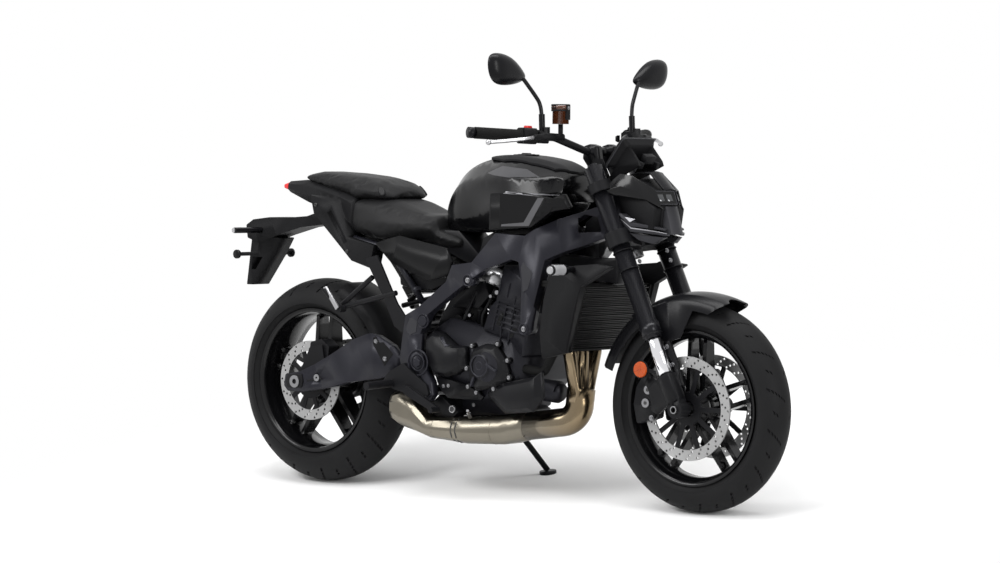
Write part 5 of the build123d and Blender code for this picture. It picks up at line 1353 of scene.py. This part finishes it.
@dataclass
class Cockpit:
    """The meter's screen, switches, the reservoir's lid and the fork tops."""

    meter: tuple[float, float, float] = (461.0, 0.0, 1022.0)
    meter_turn: float = 53.0
    reservoir: tuple[float, float] = (350.0, -192.0)

    def build(self) -> None:
        """Build every small piece round the handlebar."""
        self.screen()
        self.switches()
        self.lid()
        self.fork_tops()

    def screen(self) -> None:
        """Build the meter's screen and its frame, with a lighter grey rim round the meter that is a painted
        highlight along its edges.
        """
        tilt = Matrix.Translation(self.meter) @ Matrix.Rotation(-math.radians(self.meter_turn), 4, "Y")
        for name, size, level, finish in (
            # The first piece is a lighter grey rim round the meter: a painted highlight along the meter's
            # edges.
            ("meter_edge_highlight", (107.4, 157.4, 3.2), 4.0, TRIM_GREY),
            ("meter_bezel", (90, 140, 5), 10.5, GLOSS_BLACK),
            ("meter_screen", (76, 124, 3), 13.5, SCREEN_GLASS),
        ):
            bench = Bench()
            bmesh.ops.create_cube(bench.mesh, size=1)
            bmesh.ops.scale(bench.mesh, vec=size, verts=bench.mesh.verts)
            bmesh.ops.translate(bench.mesh, vec=(0, 0, level), verts=bench.mesh.verts)
            bench.rounded(2, 2)
            bmesh.ops.transform(bench.mesh, matrix=tilt, verts=bench.mesh.verts)
            bench.piece(name, finish, "steering", "matt_plastic")
        ribs = Bench()
        for side in Side:
            y = side.value
            ribs.slab(
                [(505, 985), (524, 978), (532, 996), (512, 1004)], *span(side, 30, 46)
            )
        ribs.slab([(508, 1000), (524, 992), (536, 1014), (518, 1024)], -22, 22)
        ribs.rounded(2, 2)
        ribs.piece("meter_brackets", MATT_PLASTIC, "steering", "matt_plastic")

    def switches(self) -> None:
        """Build the switch housings' buttons."""
        skin = Skin("hand_controls")
        red, black = Bench(), Bench()
        for side, bench in ((Side.RIGHT, red), (Side.LEFT, black)):
            found = skin.above(272, side.value * 246)
            top = found[0].z if found else 1092.0
            bench.slab(
                [(262, top - 2), (284, top - 2), (281, top + 6), (266, top + 7)], side.value * 246 - 9,
                side.value * 246 + 9
            )
        for y in (-268, -232, 232, 268):
            black.slab([(236, 1056), (228, 1060), (228, 1074), (236, 1078)], y - 7, y + 7)
        for bench in (red, black):
            bench.rounded(1.5, 2)
        red.piece("stop_switch", SWITCH_RED, "steering", "matt_plastic")
        black.piece("switch_buttons", SMOOTH_PLASTIC, "steering", "matt_plastic")

    def lid(self) -> None:
        """Build the reservoir's lid, its bracket and its screw."""
        x, y = self.reservoir
        low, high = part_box("fluid_reservoir")
        highest = Vector(((low[0] + high[0]) / 2, (low[1] + high[1]) / 2, high[2]))
        top = (STANCE.matrix().inverted() @ highest).z
        lid = Bench()
        for step in range(3):
            lid.rod((x, y, top - 21 + step * 7), (x, y, top - 16 + step * 7), 27.5, sides=40)
        lid.rod((x, y, top - 20), (x, y, top - 1), 26.4, sides=40)
        lid.slab([(x + 22, top - 46), (x + 29, top - 46), (x + 29, top - 4), (x + 22, top - 4)], y - 8, y + 8)
        lid.piece("reservoir_lid", MATT_PLASTIC, "steering", "reservoir_plastic")
        screw = Bench()
        screw.bolt((x + 28, y, top - 12), (1, 0, 0), 4, 3)
        screw.piece("reservoir_screw", BOLT_STEEL, "steering", "axle_steel")

    def fork_tops(self) -> None:
        """Build the adjusters on the fork legs and the clamp screws."""
        adjusters, screws = Bench(), Bench()
        up, ahead = STEER_UP, STEER_FORWARD
        for side in Side:
            top = Vector((leg_x(936), side.value * 105, 936))
            adjusters.rod(top, top + up * 10, 15, 14, sides=6)
            adjusters.rod(top + up * 10, top + up * 19, 8, 7, sides=20)
            for drop in (14, 30):
                screws.bolt(
                    top - up * (drop + 6) + ahead * 18 - Vector((0, side.value * 26, 0)), ahead, 4.5, 4
                )
            for z in (706, 734):
                place = Vector((leg_x(z), side.value * 74, z)) + ahead * 22
                screws.bolt(place, ahead, 5, 4)
        adjusters.piece("fork_adjusters", BOLT_STEEL, "steering", "axle_steel")
        screws.piece("clamp_screws", BOLT_STEEL, "steering", "axle_steel")


# ---------------------------------------------------------------- engine, frame and exhaust
@dataclass
class EngineDress:
    """Bolts, ribs and slots of the open engine, and the dark forms behind the frame's window."""

    cover_bolts: tuple[tuple[float, float], ...] = (
        (-24, 452), (74, 461), (112, 414), (118, 364), (60, 328), (-6, 314), (-38, 330), (-44, 384),
    )
    case_bolts: tuple[tuple[float, float], ...] = (
        (-118, 329), (-137, 327), (-108, 279), (-61, 272), (22, 287), (-180, 350),
    )
    slots: tuple[tuple[tuple[float, float], ...], ...] = (
        ((79, 553), (93, 550), (74, 515), (62, 518)), ((127, 517), (144, 514), (118, 479), (106, 481)),
    )
    crease: tuple[tuple[float, float], ...] = (
        (-138, 486), (-108, 453), (-50, 449), (-50, 445), (-110, 447), (-141, 481)
    )

    def build(self) -> None:
        """Dress both sides of the engine."""
        right = (Side.RIGHT,)
        covers = Skin("engine_covers", "crankcase", "cylinder_block")
        BoltSet("cover_bolts", self.cover_bolts, 4.4, sides=right, slot="engine_graphite").build(covers)
        BoltSet("case_bolts", self.case_bolts, 4.2, slot="engine_graphite").build(covers)
        head = Skin("cylinder_block", "crankcase")
        for number, outline in enumerate(self.slots):
            Panel(f"head_slot_{number}", outline, PANEL_BLACK, slot="engine_graphite").build(head)
        self.cover_rims()
        round_face = [
            (42 + 44 * math.cos(turn * math.tau / 24), 392 + 44 * math.sin(turn * math.tau / 24))
            for turn in range(24)
        ]
        face = Panel(
            "crank_cover_face", tuple(round_face), ENGINE_PAINT, body="root", slot="engine_graphite",
            sides=right
        )
        face.build(Skin("engine_covers"))
        self.head_ribs(head)
        self.inner_forms()
        self.sight_glass()

    def cover_rims(self) -> None:
        """Build raised rims and ribs on the covers."""
        skin = Skin("engine_covers")
        bench = Bench()
        start = skin.beside(20, 395, Side.RIGHT)
        y = start[0].y if start else -154.0
        bench.ring((20, y, 395), (0, 1, 0), 31, 2.2)
        bench.ring((20, y, 395), (0, 1, 0), 12, 1.6)
        bench.slab([(46, 404), (84, 384), (80, 380), (44, 399)], y - 1, y + 18)
        bench.slab([(-6, 360), (2, 362), (-10, 332), (-16, 334)], y - 1, y + 20)
        bench.piece("cover_rims", COVER_GREY, "root", "engine_graphite")
        crease = Panel(
            "clutch_crease", self.crease, COVER_GREY, thick=1.6, slot="engine_graphite", sides=(Side.RIGHT,)
        )
        crease.build(skin)

    def head_ribs(self, skin: Skin) -> None:
        """Build the cylinder head's ribs, plug well and cover edge.

        Args:
            skin: the head's surface.
        """
        bench = Bench()
        for side in Side:
            for bottom, top in (((70, 470), (118, 640)), ((100, 462), (140, 600)), ((44, 500), (84, 640))):
                for share in range(9):
                    x = bottom[0] + (top[0] - bottom[0]) * share / 8
                    z = bottom[1] + (top[1] - bottom[1]) * share / 8
                    found = skin.beside(x, z, side)
                    if found and share < 8:
                        x2 = bottom[0] + (top[0] - bottom[0]) * (share + 1) / 8
                        z2 = bottom[1] + (top[1] - bottom[1]) * (share + 1) / 8
                        after = skin.beside(x2, z2, side)
                        if after and abs(after[0].y - found[0].y) < 8:
                            bench.rod(found[0], after[0], 2.6, sides=8)
            found = skin.beside(128, 556, side)
            if found:
                bench.ring(found[0], (0, 1, 0), 11, 2.5, sides=32)
        bench.piece("head_ribs", ENGINE_PAINT, "root", "engine_graphite")

    def inner_forms(self) -> None:
        """Build the dark inlet box, starter and loom covers that fill the frame's window."""
        bench = Bench()
        inlet = [
            (-225, 500), (-205, 540), (-160, 600), (-48, 640), (-8, 560), (8, 486), (-10, 466), (-90, 456)
        ]
        bench.slab(inlet + [(-190, 484)], -58, 58)
        bench.slab(
            [(-70, 690), (-40, 770), (40, 808), (90, 812), (240, 806), (290, 800), (200, 760), (20, 680)],
            -66, 66
        )
        bench.slab([(300, 765), (306, 822), (350, 852), (400, 862), (404, 790), (380, 770)], -18, 18)
        bench.slab(
            [(-340, 655), (-140, 662), (-142, 648), (-170, 626), (-215, 609), (-286, 611), (-337, 622)],
            -100, 100
        )
        bench.slab([(-150, 560), (-60, 640), (-20, 640), (0, 600), (-40, 560)], -84, 84)
        bench.slab(
            [
                (-580, 772), (-570, 748), (-460, 728), (-380, 735), (-180, 722), (-100, 690), (-60, 720),
                (-140, 790), (-560, 800)
            ],
            -60, 60
        )
        bench.slab([(-445, 755), (-169, 665), (-252, 623), (-347, 590), (-364, 629), (-413, 688)], -60, 60)
        bench.slab(
            [(211, 727), (348, 718), (425, 721), (425, 712), (425, 668), (425, 644), (349, 650), (211, 670)],
            -20, 20
        )
        bench.slab(
            [
                (-208, 400), (-150, 400), (-101, 330), (40, 300), (120, 262), (60, 246), (-60, 238),
                (-160, 238)
            ],
            -70, 70
        )
        bench.slab([(-170, 300), (-96, 250), (-122, 226), (-190, 232), (-214, 262)], -110, -60)
        bench.rounded(5, 2)
        for side in Side:
            y = side.value
            bench.rod((-118, y * 60, 520), (-118, y * 92, 520), 24, 20, sides=32)
            bench.rod((-60, y * 56, 500), (-30, y * 86, 560), 9, sides=16)
            bench.tube([(-150, y * 70, 480), (-96, y * 96, 500), (-70, y * 96, 560), (-52, y * 80, 610)], 6)
            bench.tube([(-20, y * 84, 486), (-28, y * 92, 530), (8, y * 92, 580), (24, y * 86, 620)], 5)
        bench.piece("inlet_and_starter", COVER_BLACK, "root", "matt_plastic")
        bright = Bench()
        for side in Side:
            y = side.value
            for x, z, radius in (
                (40, 611, 8), (16, 599, 6), (47, 578, 7), (18, 550, 9), (61, 660, 8), (-64, 540, 6)
            ):
                bright.rod((x, y * 84, z), (x + 4, y * 104, z), radius, radius * 0.8, sides=16)
            bright.rod((8, y * 98, 560), (34, y * 100, 546), 3.5, sides=12)
            bright.rod((8, y * 98, 548), (34, y * 100, 534), 3.5, sides=12)
        bright.piece("inlet_fittings", BOLT_STEEL, "root", "cast_alloy")

    def sight_glass(self) -> None:
        """Build the oil sight glass low on the right cover."""
        skin = Skin("engine_covers", "crankcase", "main_frame")
        found = skin.beside(-116, 258, Side.RIGHT)
        place = found[0] if found else Vector((-116, -110, 258))
        ring, glass = Bench(), Bench()
        ring.rod(place, place - Vector((0, 6, 0)), 12, 11, sides=32)
        ring.piece("sight_glass_ring", ALLOY, "root", "cast_alloy")
        glass.rod(place - Vector((0, 5.9, 0)), place - Vector((0, 7, 0)), 8, sides=24)
        glass.piece("sight_glass", SCREEN_GLASS, "root", "lamp_lens")


@dataclass
class FrameDress:
    """Bolts, bosses and pockets of the frame and the swingarm."""

    frame_bolts: tuple[tuple[float, float], ...] = (
        (-90, 667), (-12, 647), (201, 511), (-252, 315), (-170, 309), (-270, 381)
    )
    rear_pocket: tuple[tuple[float, float], ...] = (
        (-245, 529), (-217, 517), (-222, 486), (-247, 476), (-262, 492)
    )
    front_pocket: tuple[tuple[float, float], ...] = (
        (196, 706), (232, 676), (214, 628), (196, 618), (188, 690)
    )
    arm_plate: tuple[tuple[float, float], ...] = (
        (-400, 470), (-372, 462), (-318, 416), (-352, 378), (-398, 440)
    )

    def build(self) -> None:
        """Dress the frame and the swingarm on both sides."""
        skin = Skin("main_frame")
        BoltSet("frame_bolts", self.frame_bolts, 6.0, slot="frame_graphite").build(skin)
        Panel("rear_pockets", self.rear_pocket, TRIM_GREY, slot="frame_graphite").build(skin)
        Panel("front_pockets", self.front_pocket, TRIM_GREY, slot="frame_graphite").build(skin)
        bench = Bench()
        for side in Side:
            for x, z, radius in (
                (-195, 520, 20), (-212, 395, 38), (-212, 395, 24), (201, 511, 15), (-12, 647, 16),
                (-90, 667, 15)
            ):
                found = skin.beside(x, z, side)
                if found:
                    bench.ring(found[0], (0, 1, 0), radius, 2.6)
            found = skin.beside(-195, 520, side)
            if found:
                bench.rod(found[0], found[0] + Vector((0, side.value * 5, 0)), 17, 15, sides=32)
            found = skin.beside(-212, 395, side)
            if found:
                bench.rod(found[0], found[0] + Vector((0, side.value * 6, 0)), 15, 13, sides=6)
        bench.piece("frame_bosses", FRAME_PAINT, "root", "frame_graphite")
        arm = Skin("swingarm")
        Panel("arm_plates", self.arm_plate, PANEL_BLACK, thick=1.2, slot="frame_graphite").build(arm)
        BoltSet("arm_plate_bolts", ((-388, 452), (-352, 400)), 6.0, slot="axle_steel").build(arm)
        self.axle_blocks(arm)

    def axle_blocks(self, skin: Skin) -> None:
        """Build the chain adjusters and their slots.

        Args:
            skin: the swingarm's surface.
        """
        blocks, screws = Bench(), Bench()
        for side in Side:
            found = skin.beside(-735, 315, side)
            y = found[0].y if found else side.value * 130.0
            near, far = sorted((y - side.value, y + side.value * 5))
            blocks.slab(
                [(-748, 336), (-690, 338), (-684, 318), (-690, 296), (-748, 294), (-756, 315)], near, far
            )
            blocks.slab(
                [(-670, 322), (-610, 330), (-608, 324), (-670, 316)], min(y, y + side.value * 1.5),
                max(y, y + side.value * 1.5)
            )
            screws.rod((-774, y - side.value * 14, 315), (-756, y - side.value * 14, 315), 5, sides=12)
            screws.rod((-766, y - side.value * 14, 315), (-760, y - side.value * 14, 315), 9, sides=6)
        blocks.rounded(1.5, 2)
        blocks.piece("axle_blocks", COVER_BLACK, "root", "frame_graphite")
        screws.piece("chain_adjusters", BOLT_STEEL, "root", "axle_steel")


@dataclass
class ExhaustDress:
    """Welds, clamps and seams round the exhaust."""

    middle: tuple[float, float] = (-30.0, 205.0)

    def build(self) -> None:
        """Build the band clamps and welded seams, following the silencer's surface."""
        skin = Skin("silencer", "exhaust_pipes")
        clamps, welds = Bench(), Bench()
        for x, thick, bench in (
            (-84, 2.2, clamps), (-100, 2.2, clamps), (139, 1.2, welds), (-170, 1.0, welds), (30, 1.0, welds)
        ):
            self.girdle(bench, skin, x, thick)
        clamps.piece("exhaust_clamps", DARK_STEEL, "root", "silencer_steel")
        welds.piece("exhaust_welds", SILENCER_STEEL, "root", "silencer_steel")
        sensor = Bench()
        found = skin.beside(-40, 250, Side.RIGHT)
        place = found[0] if found else Vector((-40, -120, 240))
        sensor.rod(place, place + Vector((6, -16, 12)), 8, 6, sides=6)
        sensor.rod(place + Vector((6, -16, 12)), place + Vector((14, -30, 20)), 5, 4, sides=16)
        sensor.piece("oxygen_sensor", BOLT_STEEL, "root", "silencer_steel")

    def girdle(self, bench: Bench, skin: Skin, x: float, thick: float) -> None:
        """Lay a bead round the exhaust's section at a length.

        Args:
            bench: the bench that takes it.
            skin: the exhaust's surface.
            x: where it lies.
            thick: the bead's radius.
        """
        middle = Vector((x, *self.middle))
        ring = []
        for step in range(48):
            angle = math.tau * step / 48
            out = Vector((0, math.cos(angle), math.sin(angle)))
            found = skin.reach(middle + out * 400, -out)
            if found and (found[0] - middle).length < 260:
                ring.append(found[0])
        for start, end in zip(ring, ring[1:] + ring[:1]):
            if 0.5 < (end - start).length < 60:
                bench.rod(start, end, thick, sides=6)


# ---------------------------------------------------------------- wheels' ends, lamps and tail
@dataclass
class FrontEnd:
    """The reflectors, caliper caps, caliper and fender bolts, and the fork legs' collars."""

    reflector: tuple[float, float, float] = (603.0, 140.0, 410.0)
    reflector_radius: float = 23.0

    def build(self) -> None:
        """Build the front end's small pieces on both sides."""
        amber, dark, holders, bright, sockets = Bench(), Bench(), Bench(), Bench(), Bench()
        x, y, z = self.reflector
        for side in Side:
            s = side.value
            holders.rod((x, s * (y - 8), z), (x, s * (y - 2), z), self.reflector_radius + 2.5, sides=48)
            amber.rod(
                (x, s * (y - 2.2), z), (x, s * (y + 2), z), self.reflector_radius,
                self.reflector_radius - 1.5, sides=48
            )
            for turn in range(6):
                angle = math.tau * turn / 6 + 0.3
                far = Vector((math.cos(angle), 0, math.sin(angle))) * (self.reflector_radius - 3)
                middle = Vector((x, s * (y + 2.1), z))
                dark.rod(middle, middle + far, 0.9, sides=6)
            holders.slab(
                [(x + 16, z - 5), (x + 50, z - 12), (x + 50, z - 2), (x + 16, z + 6)],
                *span(side, y - 9, y - 5)
            )
            for cx, cz in ((600, 350), (592, 312)):
                bright.rod((cx, s * 95.5, cz), (cx, s * 100, cz), 14, 13, sides=40)
                sockets.rod((cx, s * 99.8, cz), (cx, s * 100.6, cz), 6, sides=6)
        amber.piece("side_reflectors", AMBER_LENS, "steering", "tail_lens")
        dark.piece("reflector_sectors", AMBER_DARK, "steering", "tail_lens")
        sockets.piece("caliper_cap_sockets", DARK_STEEL, "steering", "axle_steel")
        holders.piece("reflector_holders", MATT_PLASTIC, "steering", "matt_plastic")
        bright.piece("caliper_caps", BOLT_STEEL, "steering", "axle_steel")
        holder = Skin("axle_holders", "front_fender", "front_calipers", "front_axle")
        BoltSet("fender_bolts", ((656, 475), (676, 425)), 5.5, body="steering").build(holder)
        BoltSet("caliper_bolts", ((640, 395), (612, 270)), 6.0, body="steering").build(holder)
        self.collars()

    def collars(self) -> None:
        """Build the fork legs' dust seals and lower collars."""
        bench = Bench()
        for side in Side:
            for z, radius, thick in ((507, 25.5, 4.5), (520, 27.5, 2.0), (742, 28.5, 1.6), (690, 28.5, 1.6)):
                middle = (leg_x(z), side.value * 105, z)
                bench.ring(middle, tuple(STEER_UP), radius, thick)
        bench.piece("fork_collars", COVER_BLACK, "steering", "fork_black")


@dataclass
class TailDress:
    """Lenses of the front and rear signals, the tail's screws and the passenger pegs' blades."""

    def build(self) -> None:
        """Build the tail's small pieces."""
        lens = Bench()
        for side in Side:
            s = side.value
            lens.rod((398, s * 240, 690), (398, s * 288, 690), 15.4, sides=32)
            lens.rod((398, s * 288, 690), (398, s * 299, 690), 15.4, 10, sides=32)
        lens.piece("front_signal_lenses", SIGNAL_LENS, "root", "tail_lens")
        rear = Bench()
        for side in Side:
            s = side.value
            rear.rod((-984, s * 118, 775), (-984, s * 150, 775), 9.6, 8, sides=32)
        rear.piece("rear_signal_lenses", SIGNAL_LENS, "root", "tail_lens")
        tail = Skin("tail_cowl")
        BoltSet("tail_screws", ((-520, 720), (-650, 860)), 4.5, finish=DARK_STEEL).build(tail)
        pegs = Bench()
        for side in Side:
            s = side.value
            pegs.slab(
                [(-570, 610), (-556, 614), (-506, 552), (-518, 542)], min(s * 184, s * 190),
                max(s * 184, s * 190)
            )
        pegs.rounded(2, 2)
        pegs.piece("peg_blades", ALLOY, "root", "lever_alloy")


@dataclass
class Cooler:
    """The radiator's fine fins."""

    rows: int = 34

    def build(self) -> None:
        """Build the core's rows."""
        skin = Skin("radiator")
        bench = Bench()
        for row in range(self.rows):
            z = 462 + row * (636 - 462) / (self.rows - 1)
            found = skin.reach((900, 0, z), (-1, 0, 0))
            if found is None:
                continue
            middle = found[0]
            bench.slab(
                [
                    (middle.x - 1, z - 0.9), (middle.x + 2.2, z - 0.9), (middle.x + 2.2, z + 0.9),
                    (middle.x - 1, z + 0.9)
                ],
                -148, 148
            )
        bench.piece("core_fins", DARK_STEEL, "root", "radiator_black")


@dataclass
class PadRecess:
    """The oval recess in the side of the passenger pad, drawn as a dark oval whose colour is painted shade for
    the recess's depth.
    """

    centre: tuple[float, float, float] = (-462.0, -40.0, 901.0)
    half: tuple[float, float] = (9.0, 17.0)
    tilt: float = 24.0

    def build(self) -> None:
        """Set the oval's rim and its dark well into both sides of the pad; the well's dark colour is painted
        shade.
        """
        skin = Skin("pillion_seat")
        towards = Vector((0.633, -0.773, 0.038))
        place, facing, _index, _distance = skin.tree.ray_cast(Vector(self.centre) + towards * 300, -towards)
        if place is None:
            log.warning("no surface under the recess")
            return
        rim, well = Bench(), Bench()
        across, tall = self.half
        for side in Side:
            flip = Matrix.Diagonal((1, -side.value, 1, 1))
            turn = Matrix.Translation(place) @ facing.to_track_quat("Z", "Y").to_matrix().to_4x4()
            turn = flip @ turn @ Matrix.Rotation(math.radians(self.tilt), 4, "Z")
            for bench, deep, grow in ((well, 8.0, 1.0), (rim, 7.0, 1.2)):
                shape = bmesh.ops.create_cone(
                    bench.mesh, cap_ends=True, segments=40, radius1=1, radius2=0.9, depth=deep,
                    matrix=Matrix.Identity(4),
                )
                bmesh.ops.scale(bench.mesh, vec=(across * grow, tall * grow, 1), verts=shape["verts"])
                bmesh.ops.transform(bench.mesh, matrix=turn, verts=shape["verts"])
        rim.piece("pad_oval_rim", MATT_PLASTIC, "root", "matt_plastic")
        # The well's dark panel colour is painted shade, in place of the recess's depth; it stands a little
        # proud of the rim.
        well.piece("pad_oval", PANEL_BLACK, "root", "matt_plastic")


# ---------------------------------------------------------------- studio
@dataclass
class Studio:
    """Camera, floor, lamps and background."""

    azimuth: float = 39.33
    elevation: float = 2.15
    roll: float = 0.38
    distance: float = 10333.67
    target: tuple[float, float, float] = (-28.37, 0.0, 638.7)
    lens: float = 124.53

    def camera(self) -> None:
        """Make the camera, placed against the upright motorcycle and leaned with it."""
        a, e, r = (math.radians(value) for value in (self.azimuth, self.elevation, self.roll))
        back = Vector((math.sin(a) * math.cos(e), -math.cos(a) * math.cos(e), math.sin(e)))
        right = Vector((math.cos(a), math.sin(a), 0))
        up = back.cross(right)
        right, up = right * math.cos(r) + up * math.sin(r), up * math.cos(r) - right * math.sin(r)
        place = STANCE.place(Vector(self.target) + back * self.distance)
        axes = Matrix([STANCE.turned(axis) for axis in (right, up, back)]).transposed()
        data = bpy.data.cameras.new("camera")
        data.lens = self.lens
        data.sensor_width = 36
        data.clip_end = 100
        camera = bpy.data.objects.new("camera", data)
        camera.matrix_world = Matrix.Translation(place) @ axes.to_4x4()
        bpy.context.scene.collection.objects.link(camera)
        bpy.context.scene.camera = camera

    def lamp(self, name: str, place: Point, aim: Point, size: tuple[float, float], power: float) -> None:
        """Add a soft rectangular lamp.

        Args:
            name: its name.
            place: where it hangs, in metres.
            aim: what it points at, in metres.
            size: its width and height, in metres.
            power: its power in watts.
        """
        data = bpy.data.lights.new(name, "AREA")
        data.shape = "RECTANGLE"
        data.size, data.size_y = size
        data.energy = power
        lamp = bpy.data.objects.new(name, data)
        lamp.location = place
        lamp.rotation_mode = "QUATERNION"
        lamp.rotation_quaternion = (Vector(aim) - Vector(place)).to_track_quat("-Z", "Y")
        bpy.context.scene.collection.objects.link(lamp)

    def world(self) -> None:
        """Light everything evenly, and show white behind it."""
        world = bpy.data.worlds.new("studio")
        world.use_nodes = True
        bpy.context.scene.world = world
        sheet = Sheet(world.node_tree)
        path = sheet.node("ShaderNodeLightPath")
        seen = sheet.node("ShaderNodeMath", operation="MAXIMUM")
        sheet.link(path.outputs["Is Camera Ray"], seen.inputs[0])
        sheet.link(path.outputs["Is Glossy Ray"], seen.inputs[1])
        also = sheet.node("ShaderNodeMath", operation="MAXIMUM")
        sheet.link(seen.outputs[0], also.inputs[0])
        sheet.link(path.outputs["Is Transmission Ray"], also.inputs[1])
        strength = sheet.node("ShaderNodeMapRange")
        strength.inputs["To Min"].default_value = 0.62
        strength.inputs["To Max"].default_value = 1.0
        sheet.link(also.outputs[0], strength.inputs["Value"])
        background = world.node_tree.nodes["Background"]
        background.inputs["Color"].default_value = (1, 1, 1, 1)
        sheet.link(strength.outputs["Result"], background.inputs["Strength"])

    def floor(self) -> None:
        """Lay a pale floor that fades into the background away from the motorcycle."""
        made = bmesh.new()
        bmesh.ops.create_grid(made, x_segments=1, y_segments=1, size=14)
        data = bpy.data.meshes.new("floor")
        made.to_mesh(data)
        made.free()
        floor = bpy.data.objects.new("floor", data)
        bpy.context.scene.collection.objects.link(floor)
        paint = bpy.data.materials.new("floor_paint")
        paint.use_nodes = True
        sheet = Sheet(paint.node_tree)
        shader = paint.node_tree.nodes["Principled BSDF"]
        shader.inputs["Base Color"].default_value = (0.93, 0.93, 0.93, 1)
        shader.inputs["Roughness"].default_value = 1.0
        shader.inputs["Specular IOR Level"].default_value = 0.0
        coordinates = sheet.node("ShaderNodeTexCoord")
        length = sheet.node("ShaderNodeVectorMath", operation="LENGTH")
        sheet.link(coordinates.outputs["Object"], length.inputs[0])
        fade = sheet.node("ShaderNodeMapRange", interpolation_type="SMOOTHSTEP")
        fade.inputs["From Min"].default_value = 1.0
        fade.inputs["From Max"].default_value = 1.9
        sheet.link(length.outputs["Value"], fade.inputs["Value"])
        clear = sheet.node("ShaderNodeBsdfTransparent")
        mix = sheet.node("ShaderNodeMixShader")
        sheet.link(fade.outputs["Result"], mix.inputs[0])
        sheet.link(shader.outputs[0], mix.inputs[1])
        sheet.link(clear.outputs[0], mix.inputs[2])
        sheet.link(mix.outputs[0], paint.node_tree.nodes["Material Output"].inputs["Surface"])
        data.materials.append(paint)

    def build(self) -> None:
        """Set up the whole studio."""
        bpy.context.scene.view_settings.view_transform = "Standard"
        self.camera()
        self.world()
        self.floor()
        self.lamp("key", (-1.5, -3.2, 3.6), (0, 0, 0.5), (3.0, 1.2), 120)
        self.lamp("top", (0.3, -0.2, 3.4), (0, 0, 0.5), (3.4, 1.0), 90)
        self.lamp("front", (4.2, -1.2, 1.6), (0.4, 0, 0.6), (0.8, 2.4), 70)


def main() -> None:
    """Build the studio and every sub-assembly, in order."""
    logging.basicConfig(level=logging.INFO, format="%(name)s: %(message)s")
    Studio().build()
    Solids(NODE_FINISHES).dress()
    Tyre("front_tyre", "front_wheel", FRONT_AXLE, 300, 120, 62).build()
    Tyre("rear_tyre", "rear_wheel", REAR_AXLE, 315, 180, 94, bead_half=69.7).build()
    DrilledDisc("front_discs", "front_wheel", FRONT_AXLE, (63.0, -63.0), 149).build()
    DrilledDisc("rear_disc", "rear_wheel", REAR_AXLE, (-85.5,), 122.5, rows=18).build()
    Smoothed(SMOOTHED_NODES).build()
    TankDress().build()
    Headlamp().build()
    Mirrors().build()
    Cockpit().build()
    EngineDress().build()
    FrameDress().build()
    ExhaustDress().build()
    FrontEnd().build()
    TailDress().build()
    PadRecess().build()
    Cooler().build()
    Pad("rider_seat", SEAT_VINYL).build()
    Pad("pillion_seat", SEAT_VINYL, voxel_mm=5).build()


if __name__ == "__main__":
    main()
